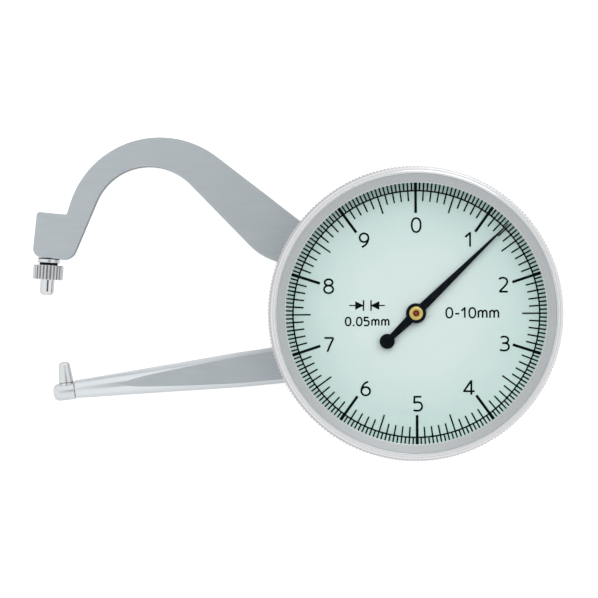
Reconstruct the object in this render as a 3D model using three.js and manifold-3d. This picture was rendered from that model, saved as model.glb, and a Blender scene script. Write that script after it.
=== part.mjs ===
// An outside dial caliper gauge for 0-10 mm, reading 0.05 mm, lying on its back with its arms open.
// Lengths are in millimetres and angles in degrees. The origin is the middle of the back cover's outer face,
// on the dial's axis. +Z points out of the dial, +X to the dial's right and +Y to its top.

import * as THREE from "three";
import { mergeVertices } from "three/addons/utils/BufferGeometryUtils.js";
import Module from "manifold-3d";

const wasm = await Module();
wasm.setup();

// Fits and facets
const facetError = 0.05;
const weldDistance = 0.0005;
const overrun = 1;
const runningClearance = 0.1;
const seatClearance = 0.06;
const slotClearance = 0.45;

// Case and covers
const coverThickness = 1.2;
const coverInset = 0.3;
const coverChamfer = 0.4;
const caseRadius = 21.6;
const caseWall = 1.7;
const ledgeHeight = 1.2;
const ledgeWidth = 3.4;
const mainPlateThickness = 1;
const bridgeThickness = 0.8;
const bridgeClearance = 0.05;
const bridgeInset = 0.4;

// Slotted screws: the radius of the head and the length of the shank, with shares of the head's radius
const coverScrewHead = 1.5;
const coverScrewLength = 1.4;
const plateScrewHead = 1.4;
const plateScrewLength = 1.9;
const armScrewHead = 1.6;
const armScrewLength = 4;
const bridgeScrewHead = 1.3;
const bridgeScrewLength = 2.8;
const sectorScrewHead = 0.75;
const sectorScrewLength = 2;
const screwHeightShare = 0.5;
const screwShankShare = 0.5;
const screwSlotWidthShare = 0.28;
const screwSlotDepthShare = 0.5;
const screwSink = 0.1;
const coverScrewFirstAngle = 15;
const coverSlotAngle = 45;
const plateScrewAngles = [60, 330, 255];

// Fixed arm, a flat plate: its foot leans, and two arcs shape its arch
const fixedArmThickness = 3.2;
const footSeatX = -59.915;
const footSeatY = 9.002;
const footTiltAngle = 6;
const footLeft = 2.635;
const footRight = 3.815;
const footNeck = 2.245;
const footHeight = 7.38;
const footTopRounding = 0.5;
const footNeckRounding = 0.3;
const footHeelRounding = 1.4;
const footToeRounding = 2.1;
const outerArchX = -49.75;
const outerArchY = 38.96;
const outerArchRadius = 15.35;
const innerArchX = -46.6;
const innerArchY = 31.2;
const innerArchRadius = 9.3;
const rootFilletX = -25.35;
const rootFilletY = 9.43;
const rootFilletRadius = 10;
const rootShoulderX = -23.7;
const rootShoulderY = 18.97;
const rootShoulderRadius = 3;
const rootTopAngle = 140.9;
const rootBottomAngle = 159;
const rootRounding = 1.2;

// Places inside the case: an angle from +X, and shares of the radius of the case's bore
const rootPadShares = [
  { angle: 169.6, out: 0.807, rounding: 0.11 },
  { angle: 145.8, out: 0.571, rounding: 0.09 },
  { angle: 121.9, out: 0.876, rounding: 0.1 },
];
const armScrewShares = [
  { angle: 132.8, out: 0.814 },
  { angle: 147, out: 0.68 },
  { angle: 157.7, out: 0.847 },
];
const pivotShare = { angle: 85.73, out: 0.6752 };
const pillarShares = [
  { angle: 45, out: 0.753 },
  { angle: 317.7, out: 0.747 },
  { angle: 242.6, out: 0.764 },
];

// Anvil, screwed into the foot: heights are counted down from the foot
const anvilBoreRadius = 1.1;
const anvilStemRadius = 0.8;
const anvilStemLength = 5.2;
const anvilCollarRadius = 1.78;
const anvilCollarHeight = 0.61;
const anvilCollarGap = 0.15;
const lockRingRadius = 1.5;
const lockRingHeight = 0.3;
const anvilHeadRadius = 2.48;
const anvilHeadHeight = 2.35;
const anvilHeadChamfer = 0.2;
const anvilKnurlDepth = 0.25;
const anvilKnurlCount = 26;
const anvilStubRadius = 1.15;
const anvilStubLength = 2.54;
const anvilStubRounding = 0.6;

// Moving arm: it swings about its pivot, and its slope is the one at rest, with the jaws open
const armSlopeAngle = 6.76;
const jawClosedGap = 0.08;
const jawOffset = 0.075;
const movingArmThickness = 3.76;
const movingArmTipRadius = 1.48;
const movingArmTaperLength = 27.5;
const movingArmTaperRadius = 2.88;
const movingArmPlainLength = 3.4;
const movingArmRootRadius = 3;
const movingArmRootGap = 0.3;
const crankThickness = 2.4;
const crankStartLength = 31.5;
const crankRadius = 2.3;
const crankClearance = 0.46;
const hubRadius = 4.7;
const hubHeight = 3.4;
const hubPlateGap = 0.3;
const collarRadius = 2;
const collarHeight = 2;
const pivotPinRadius = 1.2;
const pivotPinTopRadius = 0.8;
const pivotWasherGap = 0.15;

// Contact: a round holder on the arm's end, and a pin square to the arm
const holderRadius = 1.45;
const holderLength = 3.5;
const holderDrop = 0.17;
const holderFlat = 0.25;
const holderDome = 1;
const holderSeam = 0.1;
const holderSpigotRadius = 0.6;
const holderSpigotLength = 3;
const contactPinInset = 1.24;
const contactPinHeight = 3.65;
const contactPinBaseRadius = 1.19;
const contactPinTipRadius = 0.85;
const contactPinRounding = 0.55;
const contactSpigotRadius = 0.45;
const contactSpigotLength = 1.2;
const socketClearance = 0.25;

// Gear train, with its modules as shares of the radius of the case's bore
const sectorTeeth = 100;
const pinionTeeth = 10;
const wheelTeeth = 39;
const sectorModuleShare = 0.01005;
const wheelModuleShare = 0.01256;
const rimWidth = 1.35;
const sectorThickness = 0.8;
const sectorSideAngle = 10;
const sectorMarginAngle = 12.6;
const sectorWindowGap = 1;
const sectorScrewInset = 0.9;
const sectorScrewAngles = [95, 185];
const pinionHeight = 1.2;
const wheelThickness = 0.5;
const wheelRise = 0.6;
const centrePinionHeight = 0.9;
const arborShare = 0.5025;
const addendumShare = 1;
const dedendumShare = 1.25;
const toothTipShare = 0.2;
const toothRootShare = 0.52;
const pointerRestAngle = 405;

// Bearing bushes
const bushRadius = 1.2;
const bushRim = 0.15;
const bushBoreClearance = 0.08;

// Pillars, pins and springs
const pillarRadius = 1.6;
const upperPillarGap = 0.3;
const upperPillarAngle = 112;
const pillarStudRadius = 0.7;
const pillarStudLength = 0.9;
const stopPinRadius = 0.6;
const stopPinHeight = 3;
const stopPinAlong = 4;
const stopPinGap = 0.15;
const returnWireRadius = 0.17;
const returnCoilRadius = 2.45;
const returnCoilTurns = 2;
const returnCoilPitch = 0.4;
const returnLegAngle = -60;
const returnLegOverhang = 0.3;
const returnPostRadius = 0.5;
const returnPostGap = 0.4;
const hairspringInnerRadius = 1.15;
const hairspringOuterRadius = 3.7;
const hairspringTurns = 4;
const hairspringStrip = 0.14;
const hairspringHeight = 0.5;
const hairspringRise = 0.6;
const hairspringEndAngle = 320;
const hairspringStudRadius = 0.4;
const hairspringStudHeight = 1.4;
const colletRadius = 0.95;
const colletHeight = 0.9;

// Bezel and what turns with it
const bezelSkirt = 2.8;
const bezelWall = 2.1;
const knurlHeight = 4.4;
const bezelStep = 0.55;
const bezelClearance = 0.3;
const beadRise = 3.45;
const beadRounding = 0.35;
const beadArcShare = 0.75;
const coneInset = 1.35;
const coneDrop = 0.4;
const lipInset = 2.95;
const lipDrop = 1.05;
const lipThickness = 0.3;
const bezelChamfer = 0.3;
const crystalThickness = 1;
const dialThickness = 0.4;
const dialHoleRadius = 1;
const gasketThickness = 0.6;
const gasketHeight = 1.7;
const snapGrooveDepth = 0.5;
const snapGrooveHeight = 0.6;
const snapGrooveDrop = 1.5;
const snapRingThickness = 0.4;
const snapRingGapAngle = 8;
const dialRingWidth = 1.2;
const dialRingThickness = 0.3;
const dialRingGapAngle = 10;

// Pointer
const pointerTipInset = 0.35;
const pointerBaseWidth = 1.3;
const pointerTipWidth = 0.12;
const pointerThickness = 0.25;
const pointerTailLength = 6.5;
const pointerTailRootWidth = 1.52;
const pointerTailEndWidth = 0.84;
const pointerBallRadius = 1.22;
const pointerHubRadius = 1.6;
const pointerHubHeight = 0.7;
const pointerRise = 0.4;
const pointerBossRadius = 1.12;
const pointerBossHeight = 1;
const pointerBossSink = 0.2;
const pointerAngle = 45.8;

// Levels along the dial's axis
const ledgeTop = coverThickness + ledgeHeight;
const mainPlateTop = ledgeTop + mainPlateThickness;
const armLevel = mainPlateTop + fixedArmThickness / 2;
const hubBottom = mainPlateTop + hubPlateGap;
const sectorBottom = hubBottom + hubHeight;
const sectorTop = sectorBottom + sectorThickness;
const pinionBottom = sectorBottom - (pinionHeight - sectorThickness) / 2;
const wheelBottom = sectorTop + wheelRise;
const centrePinionBottom = wheelBottom - (centrePinionHeight - wheelThickness) / 2;
const centrePinionTop = centrePinionBottom + centrePinionHeight;
const bridgeBottom = centrePinionTop + bushRim + bridgeClearance;
const bridgeTop = bridgeBottom + bridgeThickness;
const caseTop = bridgeTop;
const snapGrooveBottom = caseTop - snapGrooveDrop;
const bezelBottom = caseTop - bezelSkirt;
const bezelTop = bezelBottom + knurlHeight + beadRise + beadRounding;
const lipBottom = bezelTop - lipDrop - lipThickness;
const crystalBottom = lipBottom - crystalThickness;
const dialTop = crystalBottom - gasketHeight;
const dialBottom = dialTop - dialThickness;
const dialRingBottom = dialBottom - dialRingThickness;

// Radii about the dial's axis
const caseBore = caseRadius - caseWall;
const ledgeBore = caseBore - ledgeWidth;
const ledgeMiddle = (caseBore + ledgeBore) / 2;
const mainPlateRadius = caseBore - slotClearance;
const bridgeRadius = caseBore - bridgeInset;
const coverRadius = caseRadius - coverInset;
const bezelBore = caseRadius + bezelClearance;
const bezelRadius = bezelBore + bezelWall;
const coneOuterRadius = bezelRadius - coneInset;
const lipRadius = bezelRadius - lipInset;
const dialRadius = bezelBore - runningClearance;
const pointerLength = lipRadius - pointerTipInset;

// Directions and turns in the plane of the dial
const quarterTurn = 90;
const halfTurn = 180;
const fullTurn = 360;
const screwSpacing = quarterTurn;
const radians = THREE.MathUtils.degToRad;
const at = (x, y) => new THREE.Vector2(x, y);
const heading = (degrees) =>
  at(Math.cos(radians(degrees)), Math.sin(radians(degrees)));
const moved = (point, degrees, distance) =>
  point.clone().addScaledVector(heading(degrees), distance);
const bearing = (from, to) =>
  THREE.MathUtils.radToDeg(Math.atan2(to.y - from.y, to.x - from.x));

const dialCentre = at(0, 0);
const placeInCase = ({ angle, out }) => moved(dialCentre, angle, out * caseBore);
const pivot = placeInCase(pivotShare);
const pivotDistance = dialCentre.distanceTo(pivot);
const footSeat = at(footSeatX, footSeatY);

// Ratio of the train, and the swing of the arm from open to closed
const trainRatio = ((sectorTeeth / pinionTeeth) * wheelTeeth) / pinionTeeth;
const swing = pointerRestAngle / trainRatio;
const anvilLean = swing - armSlopeAngle;
const anvilHeading = -quarterTurn - anvilLean;
const armHeading = armSlopeAngle;
const pinHeading = armSlopeAngle + quarterTurn;

// The anvil's levels below the foot
const lockRingStart = anvilCollarGap + anvilCollarHeight;
const anvilHeadStart = lockRingStart + lockRingHeight + runningClearance;
const anvilStubStart = anvilHeadStart + anvilHeadHeight;
const anvilTipDepth = anvilStubStart + anvilStubLength;

// With the jaws closed the contact's tip meets the anvil's, a little to its left, so the open place
// is that one swung back
const closedTip = moved(footSeat, anvilHeading, anvilTipDepth + jawClosedGap);
const contactTip = moved(
  closedTip.clone().rotateAround(pivot, radians(swing)),
  armHeading,
  -jawOffset,
);
const pinSeat = moved(contactTip, pinHeading, -contactPinHeight);
const holderAxis = moved(pinSeat, pinHeading, holderFlat - holderRadius);
const holderEnd = moved(holderAxis, armHeading, contactPinInset);
const armEnd = moved(
  moved(holderEnd, pinHeading, holderDrop),
  armHeading,
  holderSeam,
);
const crankStart = moved(armEnd, armHeading, crankStartLength);

// The bar's square end stops short of the main plate, with its upper corner nearest to it
const cornerReach = mainPlateRadius + movingArmRootGap;
const upperSide = moved(armEnd, pinHeading, movingArmRootRadius);
const sideOffset = upperSide.dot(heading(pinHeading));
const sideAlong = upperSide.dot(heading(armHeading));
const movingArmRootLength = -sideAlong - Math.sqrt(cornerReach ** 2 - sideOffset ** 2);

// The crank runs from the pivot past the hairspring, down to the arm's own line
const hairspringReach = hairspringOuterRadius + crankClearance + crankRadius;
const crankHeading =
  bearing(pivot, dialCentre) -
  THREE.MathUtils.radToDeg(Math.asin(hairspringReach / pivotDistance));
const crankLength =
  armEnd.clone().sub(pivot).cross(heading(armHeading)) /
  heading(crankHeading).cross(heading(armHeading));
const crankBend = moved(pivot, crankHeading, crankLength);

// The intermediate arbor stands where both of its gears mesh
const sectorModule = sectorModuleShare * caseBore;
const wheelModule = wheelModuleShare * caseBore;
const sectorRadius = (sectorTeeth * sectorModule) / 2;
const smallPinionRadius = (pinionTeeth * sectorModule) / 2;
const arborRadius = arborShare * smallPinionRadius;
const wheelRadius = (wheelTeeth * wheelModule) / 2;
const centrePinionRadius = (pinionTeeth * wheelModule) / 2;
const pivotReach = sectorRadius - smallPinionRadius;
const centreReach = wheelRadius + centrePinionRadius;
const arborCosine =
  (centreReach ** 2 + pivotDistance ** 2 - pivotReach ** 2) /
  (2 * centreReach * pivotDistance);
const intermediateCentre = moved(
  dialCentre,
  bearing(dialCentre, pivot) - THREE.MathUtils.radToDeg(Math.acos(arborCosine)),
  centreReach,
);

// Screw sizes
const screwSize = (head, length) => ({
  head,
  length,
  headHeight: head * screwHeightShare,
  shank: head * screwShankShare,
});
const coverScrew = screwSize(coverScrewHead, coverScrewLength);
const plateScrew = screwSize(plateScrewHead, plateScrewLength);
const armScrew = screwSize(armScrewHead, armScrewLength);
const bridgeScrew = screwSize(bridgeScrewHead, bridgeScrewLength);
const sectorScrew = screwSize(sectorScrewHead, sectorScrewLength);

// Materials
const finish = (color, roughness, metalness) =>
  new THREE.MeshStandardMaterial({ color, roughness, metalness });
const satinSteel = finish(0xb0babe, 0.38, 0.9);
const groundSteel = finish(0xc6cbce, 0.3, 0.95);
const brightSteel = finish(0xdadcdc, 0.16, 1);
const caseMetal = finish(0xb4b8ba, 0.42, 0.85);
const bezelMetal = finish(0xc9cbca, 0.32, 0.9);
const brass = finish(0xc4a052, 0.32, 0.9);
const springSteel = finish(0x8f9aa6, 0.3, 0.9);
const blackRubber = finish(0x161616, 0.7, 0);
const blackPaint = finish(0x121314, 0.45, 0.1);
const dialPaint = finish(0xcfe3dc, 0.55, 0);
const paleGasket = finish(0xdfe3e2, 0.5, 0);
const clearAcrylic = new THREE.MeshStandardMaterial({
  color: 0xf4f8f8,
  roughness: 0.05,
  metalness: 0,
  transparent: true,
  opacity: 0.3,
});

// How many sides a circle of this radius needs to stay within the facet error
function sides(radius) {
  return Math.ceil(Math.PI / Math.acos(1 - facetError / radius));
}

function circle(centre, radius) {
  const count = sides(radius);
  return Array.from({ length: count }, (_, i) =>
    moved(centre, (i * fullTurn) / count, radius),
  );
}

function arc(centre, radius, from, to) {
  const steps = Math.max(
    1,
    Math.ceil((sides(radius) * Math.abs(to - from)) / fullTurn),
  );
  return Array.from({ length: steps + 1 }, (_, i) =>
    moved(centre, from + ((to - from) * i) / steps, radius),
  );
}

// A closed outline through corners, each rounded with its own radius
function rounded(corners) {
  return corners.flatMap((corner, i) => {
    const before = corners.at(i - 1).point;
    const after = corners[(i + 1) % corners.length].point;
    const here = corner.point;
    if (!corner.radius) return [here];
    const inward = bearing(before, here);
    const outward = bearing(here, after);
    const turn = THREE.MathUtils.euclideanModulo(
      outward - inward + halfTurn,
      fullTurn,
    ) - halfTurn;
    const side = Math.sign(turn) * quarterTurn;
    const length = corner.radius * Math.tan(radians(Math.abs(turn) / 2));
    const start = moved(here, inward, -length);
    const middle = moved(start, inward + side, corner.radius);
    const from = inward - side;
    return arc(middle, corner.radius, from, from + turn);
  });
}

// The outline around two circles and the straight lines that touch both
function strap(a, radiusA, b, radiusB) {
  const along = bearing(a, b);
  const lean = THREE.MathUtils.radToDeg(
    Math.acos((radiusA - radiusB) / a.distanceTo(b)),
  );
  return [
    ...arc(a, radiusA, along + lean, along + fullTurn - lean),
    ...arc(b, radiusB, along - lean, along + lean),
  ];
}

// A piece of a ring between two angles
function ringPart(inner, outer, from, to) {
  return [
    ...arc(dialCentre, outer, from, to),
    ...arc(dialCentre, inner, to, from),
  ];
}

function extruded(outline, bottom, top, holes = []) {
  const shape = new THREE.Shape(outline);
  shape.holes = holes.map((hole) => new THREE.Path(hole));
  const settings = { depth: top - bottom, bevelEnabled: false };
  return new THREE.ExtrudeGeometry(shape, settings).translate(0, 0, bottom);
}

// A body turned about Z from a profile of radius and height, which runs round it with the body on its left
function turned(profile, centre = dialCentre) {
  const widest = Math.max(...profile.map(([radius]) => radius));
  const points = profile.map(([radius, height]) => at(radius, height));
  return new THREE.LatheGeometry(points, sides(widest))
    .rotateX(Math.PI / 2)
    .translate(centre.x, centre.y, 0);
}

const rod = (radius, bottom, top, centre = dialCentre) =>
  extruded(circle(centre, radius), bottom, top);

const tube = (bore, radius, bottom, top, centre = dialCentre) =>
  extruded(circle(centre, radius), bottom, top, [circle(centre, bore)]);

function solidOf(geometry) {
  const bare = geometry.clone();
  bare.deleteAttribute("normal");
  bare.deleteAttribute("uv");
  const merged = mergeVertices(bare, weldDistance);
  const mesh = new wasm.Mesh({
    numProp: 3,
    vertProperties: merged.attributes.position.array,
    triVerts: Uint32Array.from(merged.index.array),
  });
  return new wasm.Manifold(mesh);
}

function geometryOf(solid) {
  const { vertProperties, triVerts } = solid.getMesh();
  const geometry = new THREE.BufferGeometry();
  geometry.setAttribute("position", new THREE.BufferAttribute(vertProperties, 3));
  geometry.setIndex(new THREE.BufferAttribute(triVerts, 1));
  return geometry;
}

const combined = (method, [first, ...others]) =>
  geometryOf(
    others.reduce((body, other) => body[method](solidOf(other)), solidOf(first)),
  );
const joined = (...bodies) => combined("add", bodies);
const cut = (...bodies) => combined("subtract", bodies);
const common = (...bodies) => combined("intersect", bodies);

const model = new THREE.Group();

function add(name, material, geometry, parent = model) {
  const mesh = new THREE.Mesh(geometry, material);
  mesh.name = name;
  parent.add(mesh);
  return mesh;
}

// A slotted screw that stands with the underside of its head at height 0 and its shank below
function screwBody({ head, headHeight, shank, length }) {
  const body = turned([
    [0, -length],
    [shank, -length],
    [shank, 0],
    [head, 0],
    [head, headHeight],
    [0, headHeight],
  ]);
  const slotWidth = head * screwSlotWidthShare;
  const slotDepth = headHeight * screwSlotDepthShare;
  const slot = new THREE.BoxGeometry(
    2 * (head + overrun),
    slotWidth,
    2 * slotDepth,
  ).translate(0, 0, headHeight);
  return cut(body, slot);
}

function addScrew(name, size, centre, seat, slotAngle) {
  const mesh = add(name, brightSteel, screwBody(size));
  mesh.position.set(centre.x, centre.y, seat);
  mesh.rotation.z = radians(slotAngle);
  return mesh;
}

// The case: a ring with a ledge for the main plate, a snap ring's groove and two windows for the arms
function caseGeometry() {
  const grooveTop = snapGrooveBottom + snapGrooveHeight;
  const grooveRadius = caseRadius - snapGrooveDepth;
  const body = turned([
    [ledgeBore, coverThickness],
    [caseRadius, coverThickness],
    [caseRadius, snapGrooveBottom],
    [grooveRadius, snapGrooveBottom],
    [grooveRadius, grooveTop],
    [caseRadius, grooveTop],
    [caseRadius, caseTop],
    [caseBore, caseTop],
    [caseBore, ledgeTop],
    [ledgeBore, ledgeTop],
    [ledgeBore, coverThickness],
  ]);
  const spread = THREE.MathUtils.radToDeg(slotClearance / caseBore);
  const fixedWindow = extruded(
    ringPart(
      caseBore - overrun,
      caseRadius + overrun,
      rootTopAngle - spread,
      rootBottomAngle + 2 * spread,
    ),
    mainPlateTop - runningClearance,
    mainPlateTop + fixedArmThickness + slotClearance,
  );
  const movingWindow = extruded(
    ringPart(
      caseBore - overrun,
      caseRadius + overrun,
      movingWindowFrom(spread),
      movingWindowTo(spread),
    ),
    armLevel - movingArmThickness / 2 - runningClearance,
    armLevel + movingArmThickness / 2 + slotClearance,
  );
  const drilled = (screw) => (place) =>
    rod(
      screw.shank + runningClearance,
      coverThickness - overrun,
      ledgeTop + overrun,
      place,
    );
  const holes = [
    ...coverScrewPlaces().map(drilled(coverScrew)),
    ...plateScrewPlaces().map(drilled(plateScrew)),
  ];
  return cut(body, fixedWindow, movingWindow, ...holes);
}

// Where the arm's upper side leaves the case with the jaws closed, and its lower side with them open
const movingWindowFrom = (spread) => {
  const edge = moved(armEnd, armHeading, movingArmRootLength)
    .add(heading(pinHeading).multiplyScalar(movingArmRootRadius))
    .rotateAround(pivot, radians(-swing));
  const closed = armSlopeAngle - swing;
  return halfTurn + wallBearing(edge, closed) - 2 * spread;
};
const movingWindowTo = (spread) => {
  const edge = moved(armEnd, armHeading, movingArmRootLength).add(
    heading(pinHeading).multiplyScalar(-movingArmRootRadius),
  );
  return halfTurn + wallBearing(edge, armSlopeAngle) + 2 * spread;
};

// The angle below -X at which a line through a point, on a slope, crosses the case's bore
function wallBearing(point, slope) {
  const along = heading(slope);
  const start = point.clone();
  const halfChord = start.dot(along);
  const gap = start.lengthSq() - caseBore ** 2;
  const reach = -halfChord - Math.sqrt(halfChord ** 2 - gap);
  const crossing = start.addScaledVector(along, reach);
  return THREE.MathUtils.radToDeg(Math.atan2(-crossing.y, -crossing.x));
}

const coverScrewPlaces = () =>
  Array.from({ length: fullTurn / screwSpacing }, (_, i) =>
    moved(dialCentre, coverScrewFirstAngle + i * screwSpacing, ledgeMiddle),
  );
const plateScrewPlaces = () =>
  plateScrewAngles.map((angle) => moved(dialCentre, angle, ledgeMiddle));

function coverGeometry() {
  const disc = turned([
    [0, 0],
    [coverRadius - coverChamfer, 0],
    [coverRadius, coverChamfer],
    [coverRadius, coverThickness],
    [0, coverThickness],
  ]);
  const sinkDepth = coverScrew.headHeight + screwSink;
  const cavities = coverScrewPlaces().flatMap((place) => [
    rod(coverScrew.head + runningClearance, -overrun, sinkDepth, place),
    rod(
      coverScrew.shank + runningClearance,
      -overrun,
      coverThickness + overrun,
      place,
    ),
  ]);
  return cut(disc, ...cavities);
}

add("case", caseMetal, caseGeometry());
add("back_cover", caseMetal, coverGeometry());
coverScrewPlaces().forEach((place, i) => {
  const seat = coverScrew.headHeight + screwSink;
  const screw = addScrew(`back_cover_screw_${i + 1}`, coverScrew, place, seat, 0);
  screw.rotation.set(Math.PI, 0, radians(coverSlotAngle + quarterTurn * i));
});

// Main plate, with a hole for each piece that stands in it
const stopPinPlace = moved(
  moved(crankBend, crankHeading, -stopPinAlong),
  crankHeading + quarterTurn,
  crankRadius + stopPinRadius + stopPinGap,
);
const returnPostAside =
  returnCoilRadius + returnWireRadius + runningClearance + returnPostRadius;
const returnPostReach = hubRadius + returnPostGap + returnPostRadius;
const returnPostAlong = Math.sqrt(returnPostReach ** 2 - returnPostAside ** 2);
const returnPostPlace = moved(
  moved(pivot, returnLegAngle, returnPostAside),
  returnLegAngle + quarterTurn,
  returnPostAlong,
);
const hairspringStudPlace = moved(
  dialCentre,
  hairspringEndAngle,
  hairspringOuterRadius + hairspringStudRadius + runningClearance,
);
const armScrewCentres = armScrewShares.map(placeInCase);
const pillarCentres = [
  ...pillarShares.map(placeInCase),
  moved(dialCentre, upperPillarAngle, caseBore - upperPillarGap - pillarRadius),
];

function mainPlateGeometry() {
  const hole = (place, radius) => circle(place, radius + runningClearance);
  const holes = [
    hole(pivot, pivotPinRadius),
    hole(dialCentre, bushRadius),
    hole(intermediateCentre, bushRadius),
    hole(stopPinPlace, stopPinRadius),
    hole(returnPostPlace, returnPostRadius),
    hole(hairspringStudPlace, hairspringStudRadius),
    ...armScrewCentres.map((place) => hole(place, armScrew.shank)),
    ...plateScrewPlaces().map((place) => hole(place, plateScrew.shank)),
    ...pillarCentres.map((place) => hole(place, pillarStudRadius)),
  ];
  return extruded(
    circle(dialCentre, mainPlateRadius),
    ledgeTop,
    mainPlateTop,
    holes,
  );
}

function bridgeGeometry() {
  const hole = (place, radius) => circle(place, radius + runningClearance);
  const holes = [
    hole(pivot, pivotPinTopRadius),
    hole(dialCentre, bushRadius),
    hole(intermediateCentre, bushRadius),
    ...pillarCentres.map((place) => hole(place, bridgeScrew.shank)),
  ];
  return extruded(
    circle(dialCentre, bridgeRadius),
    bridgeBottom,
    bridgeTop,
    holes,
  );
}

function pillarGeometry(centre) {
  const drillDepth = bridgeScrew.length - bridgeThickness + screwSink;
  const drillRadius = bridgeScrew.shank + runningClearance;
  const profile = [
    [0, mainPlateTop - pillarStudLength],
    [pillarStudRadius, mainPlateTop - pillarStudLength],
    [pillarStudRadius, mainPlateTop],
    [pillarRadius, mainPlateTop],
    [pillarRadius, bridgeBottom],
    [drillRadius, bridgeBottom],
    [drillRadius, bridgeBottom - drillDepth],
    [0, bridgeBottom - drillDepth],
  ];
  return turned(profile, centre);
}

add("main_plate", brass, mainPlateGeometry());
plateScrewPlaces().forEach((place, i) => {
  const slotAngle = plateScrewAngles[i];
  addScrew(`main_plate_screw_${i + 1}`, plateScrew, place, mainPlateTop, slotAngle);
});
add("bridge_plate", brass, bridgeGeometry());
pillarCentres.forEach((centre, i) => {
  add(`pillar_${i + 1}`, brass, pillarGeometry(centre));
  const slotAngle = bearing(dialCentre, centre);
  addScrew(`bridge_screw_${i + 1}`, bridgeScrew, centre, bridgeTop, slotAngle);
});

// The fixed arm: the foot's corners are counted from the anvil's seat, along and square to its lower edge
function fixedArmOutline() {
  const along = -footTiltAngle;
  const up = along + quarterTurn;
  const footCorner = (right, height) => moved(moved(footSeat, along, right), up, height);
  const rootRadius = caseBore - slotClearance;
  return rounded([
    { point: footCorner(-footLeft, 0), radius: footHeelRounding },
    { point: footCorner(footRight, 0), radius: footToeRounding },
    { point: at(innerArchX, innerArchY), radius: innerArchRadius },
    { point: at(rootFilletX, rootFilletY), radius: rootFilletRadius },
    { point: moved(dialCentre, rootBottomAngle, rootRadius), radius: rootRounding },
    ...rootPadShares.map((corner) => ({
      point: placeInCase(corner),
      radius: corner.rounding * caseBore,
    })),
    { point: moved(dialCentre, rootTopAngle, rootRadius), radius: rootRounding },
    { point: at(rootShoulderX, rootShoulderY), radius: rootShoulderRadius },
    { point: at(outerArchX, outerArchY), radius: outerArchRadius },
    { point: footCorner(footNeck, footHeight), radius: footNeckRounding },
    { point: footCorner(-footLeft, footHeight), radius: footTopRounding },
  ]);
}

// A frame whose +Z runs along a heading in the dial's plane, at the level of the arms
function frameAlong(origin, degrees) {
  const frame = new THREE.Group();
  frame.position.set(origin.x, origin.y, armLevel);
  frame.rotation.set(radians(quarterTurn), 0, radians(degrees + quarterTurn), "ZYX");
  frame.updateMatrixWorld();
  return frame;
}

const anvilFrame = frameAlong(footSeat, anvilHeading);

function fixedArmGeometry() {
  const holes = armScrewCentres.map((place) =>
    circle(place, armScrew.shank + runningClearance),
  );
  const plate = extruded(
    fixedArmOutline(),
    mainPlateTop,
    mainPlateTop + fixedArmThickness,
    holes,
  );
  const bore = rod(
    anvilBoreRadius,
    -anvilStemLength - slotClearance,
    overrun,
  ).applyMatrix4(anvilFrame.matrixWorld);
  return cut(plate, bore);
}

add("fixed_arm", satinSteel, fixedArmGeometry());
armScrewCentres.forEach((place, i) => {
  const seat = mainPlateTop + fixedArmThickness;
  const slotAngle = (i * halfTurn) / armScrewCentres.length;
  addScrew(`fixed_arm_screw_${i + 1}`, armScrew, place, seat, slotAngle);
});

// A straight-knurled outline: a point on each ridge and one in each groove
function knurled(radius, depth, count) {
  return Array.from({ length: 2 * count }, (_, i) =>
    moved(dialCentre, (i * halfTurn) / count, radius - (i % 2) * depth),
  );
}

function anvilGeometry() {
  const blank = turned([
    [0, -anvilStemLength],
    [anvilStemRadius, -anvilStemLength],
    [anvilStemRadius, anvilHeadStart],
    [anvilHeadRadius - anvilHeadChamfer, anvilHeadStart],
    [anvilHeadRadius, anvilHeadStart + anvilHeadChamfer],
    [anvilHeadRadius, anvilStubStart - anvilHeadChamfer],
    [anvilHeadRadius - anvilHeadChamfer, anvilStubStart],
    [anvilStubRadius, anvilStubStart],
    ...roundEnd(anvilStubRadius, anvilTipDepth, anvilStubRounding),
  ]);
  const knurl = extruded(
    knurled(anvilHeadRadius, anvilKnurlDepth, anvilKnurlCount),
    -anvilStemLength - overrun,
    anvilTipDepth + overrun,
  );
  return common(blank, knurl);
}

// The last points of a profile whose end is rounded off and flat in the middle
function roundEnd(radius, end, rounding) {
  const centre = at(radius - rounding, end - rounding);
  const curve = arc(centre, rounding, 0, quarterTurn).map(({ x, y }) => [x, y]);
  return [...curve, [0, end]];
}

const bodyBore = anvilStemRadius + runningClearance;
model.add(anvilFrame);
add(
  "anvil_collar",
  brightSteel,
  tube(bodyBore, anvilCollarRadius, anvilCollarGap, lockRingStart),
  anvilFrame,
);
add(
  "anvil_lock_ring",
  blackRubber,
  tube(bodyBore, lockRingRadius, lockRingStart, lockRingStart + lockRingHeight),
  anvilFrame,
);
add("anvil_screw", brightSteel, anvilGeometry(), anvilFrame);

// The moving arm: a tapered round bar with a flat on both faces, then a thinner crank up to the hub
const armFrame = frameAlong(armEnd, armHeading);
const holderFrame = frameAlong(holderEnd, armHeading + halfTurn);

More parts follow.
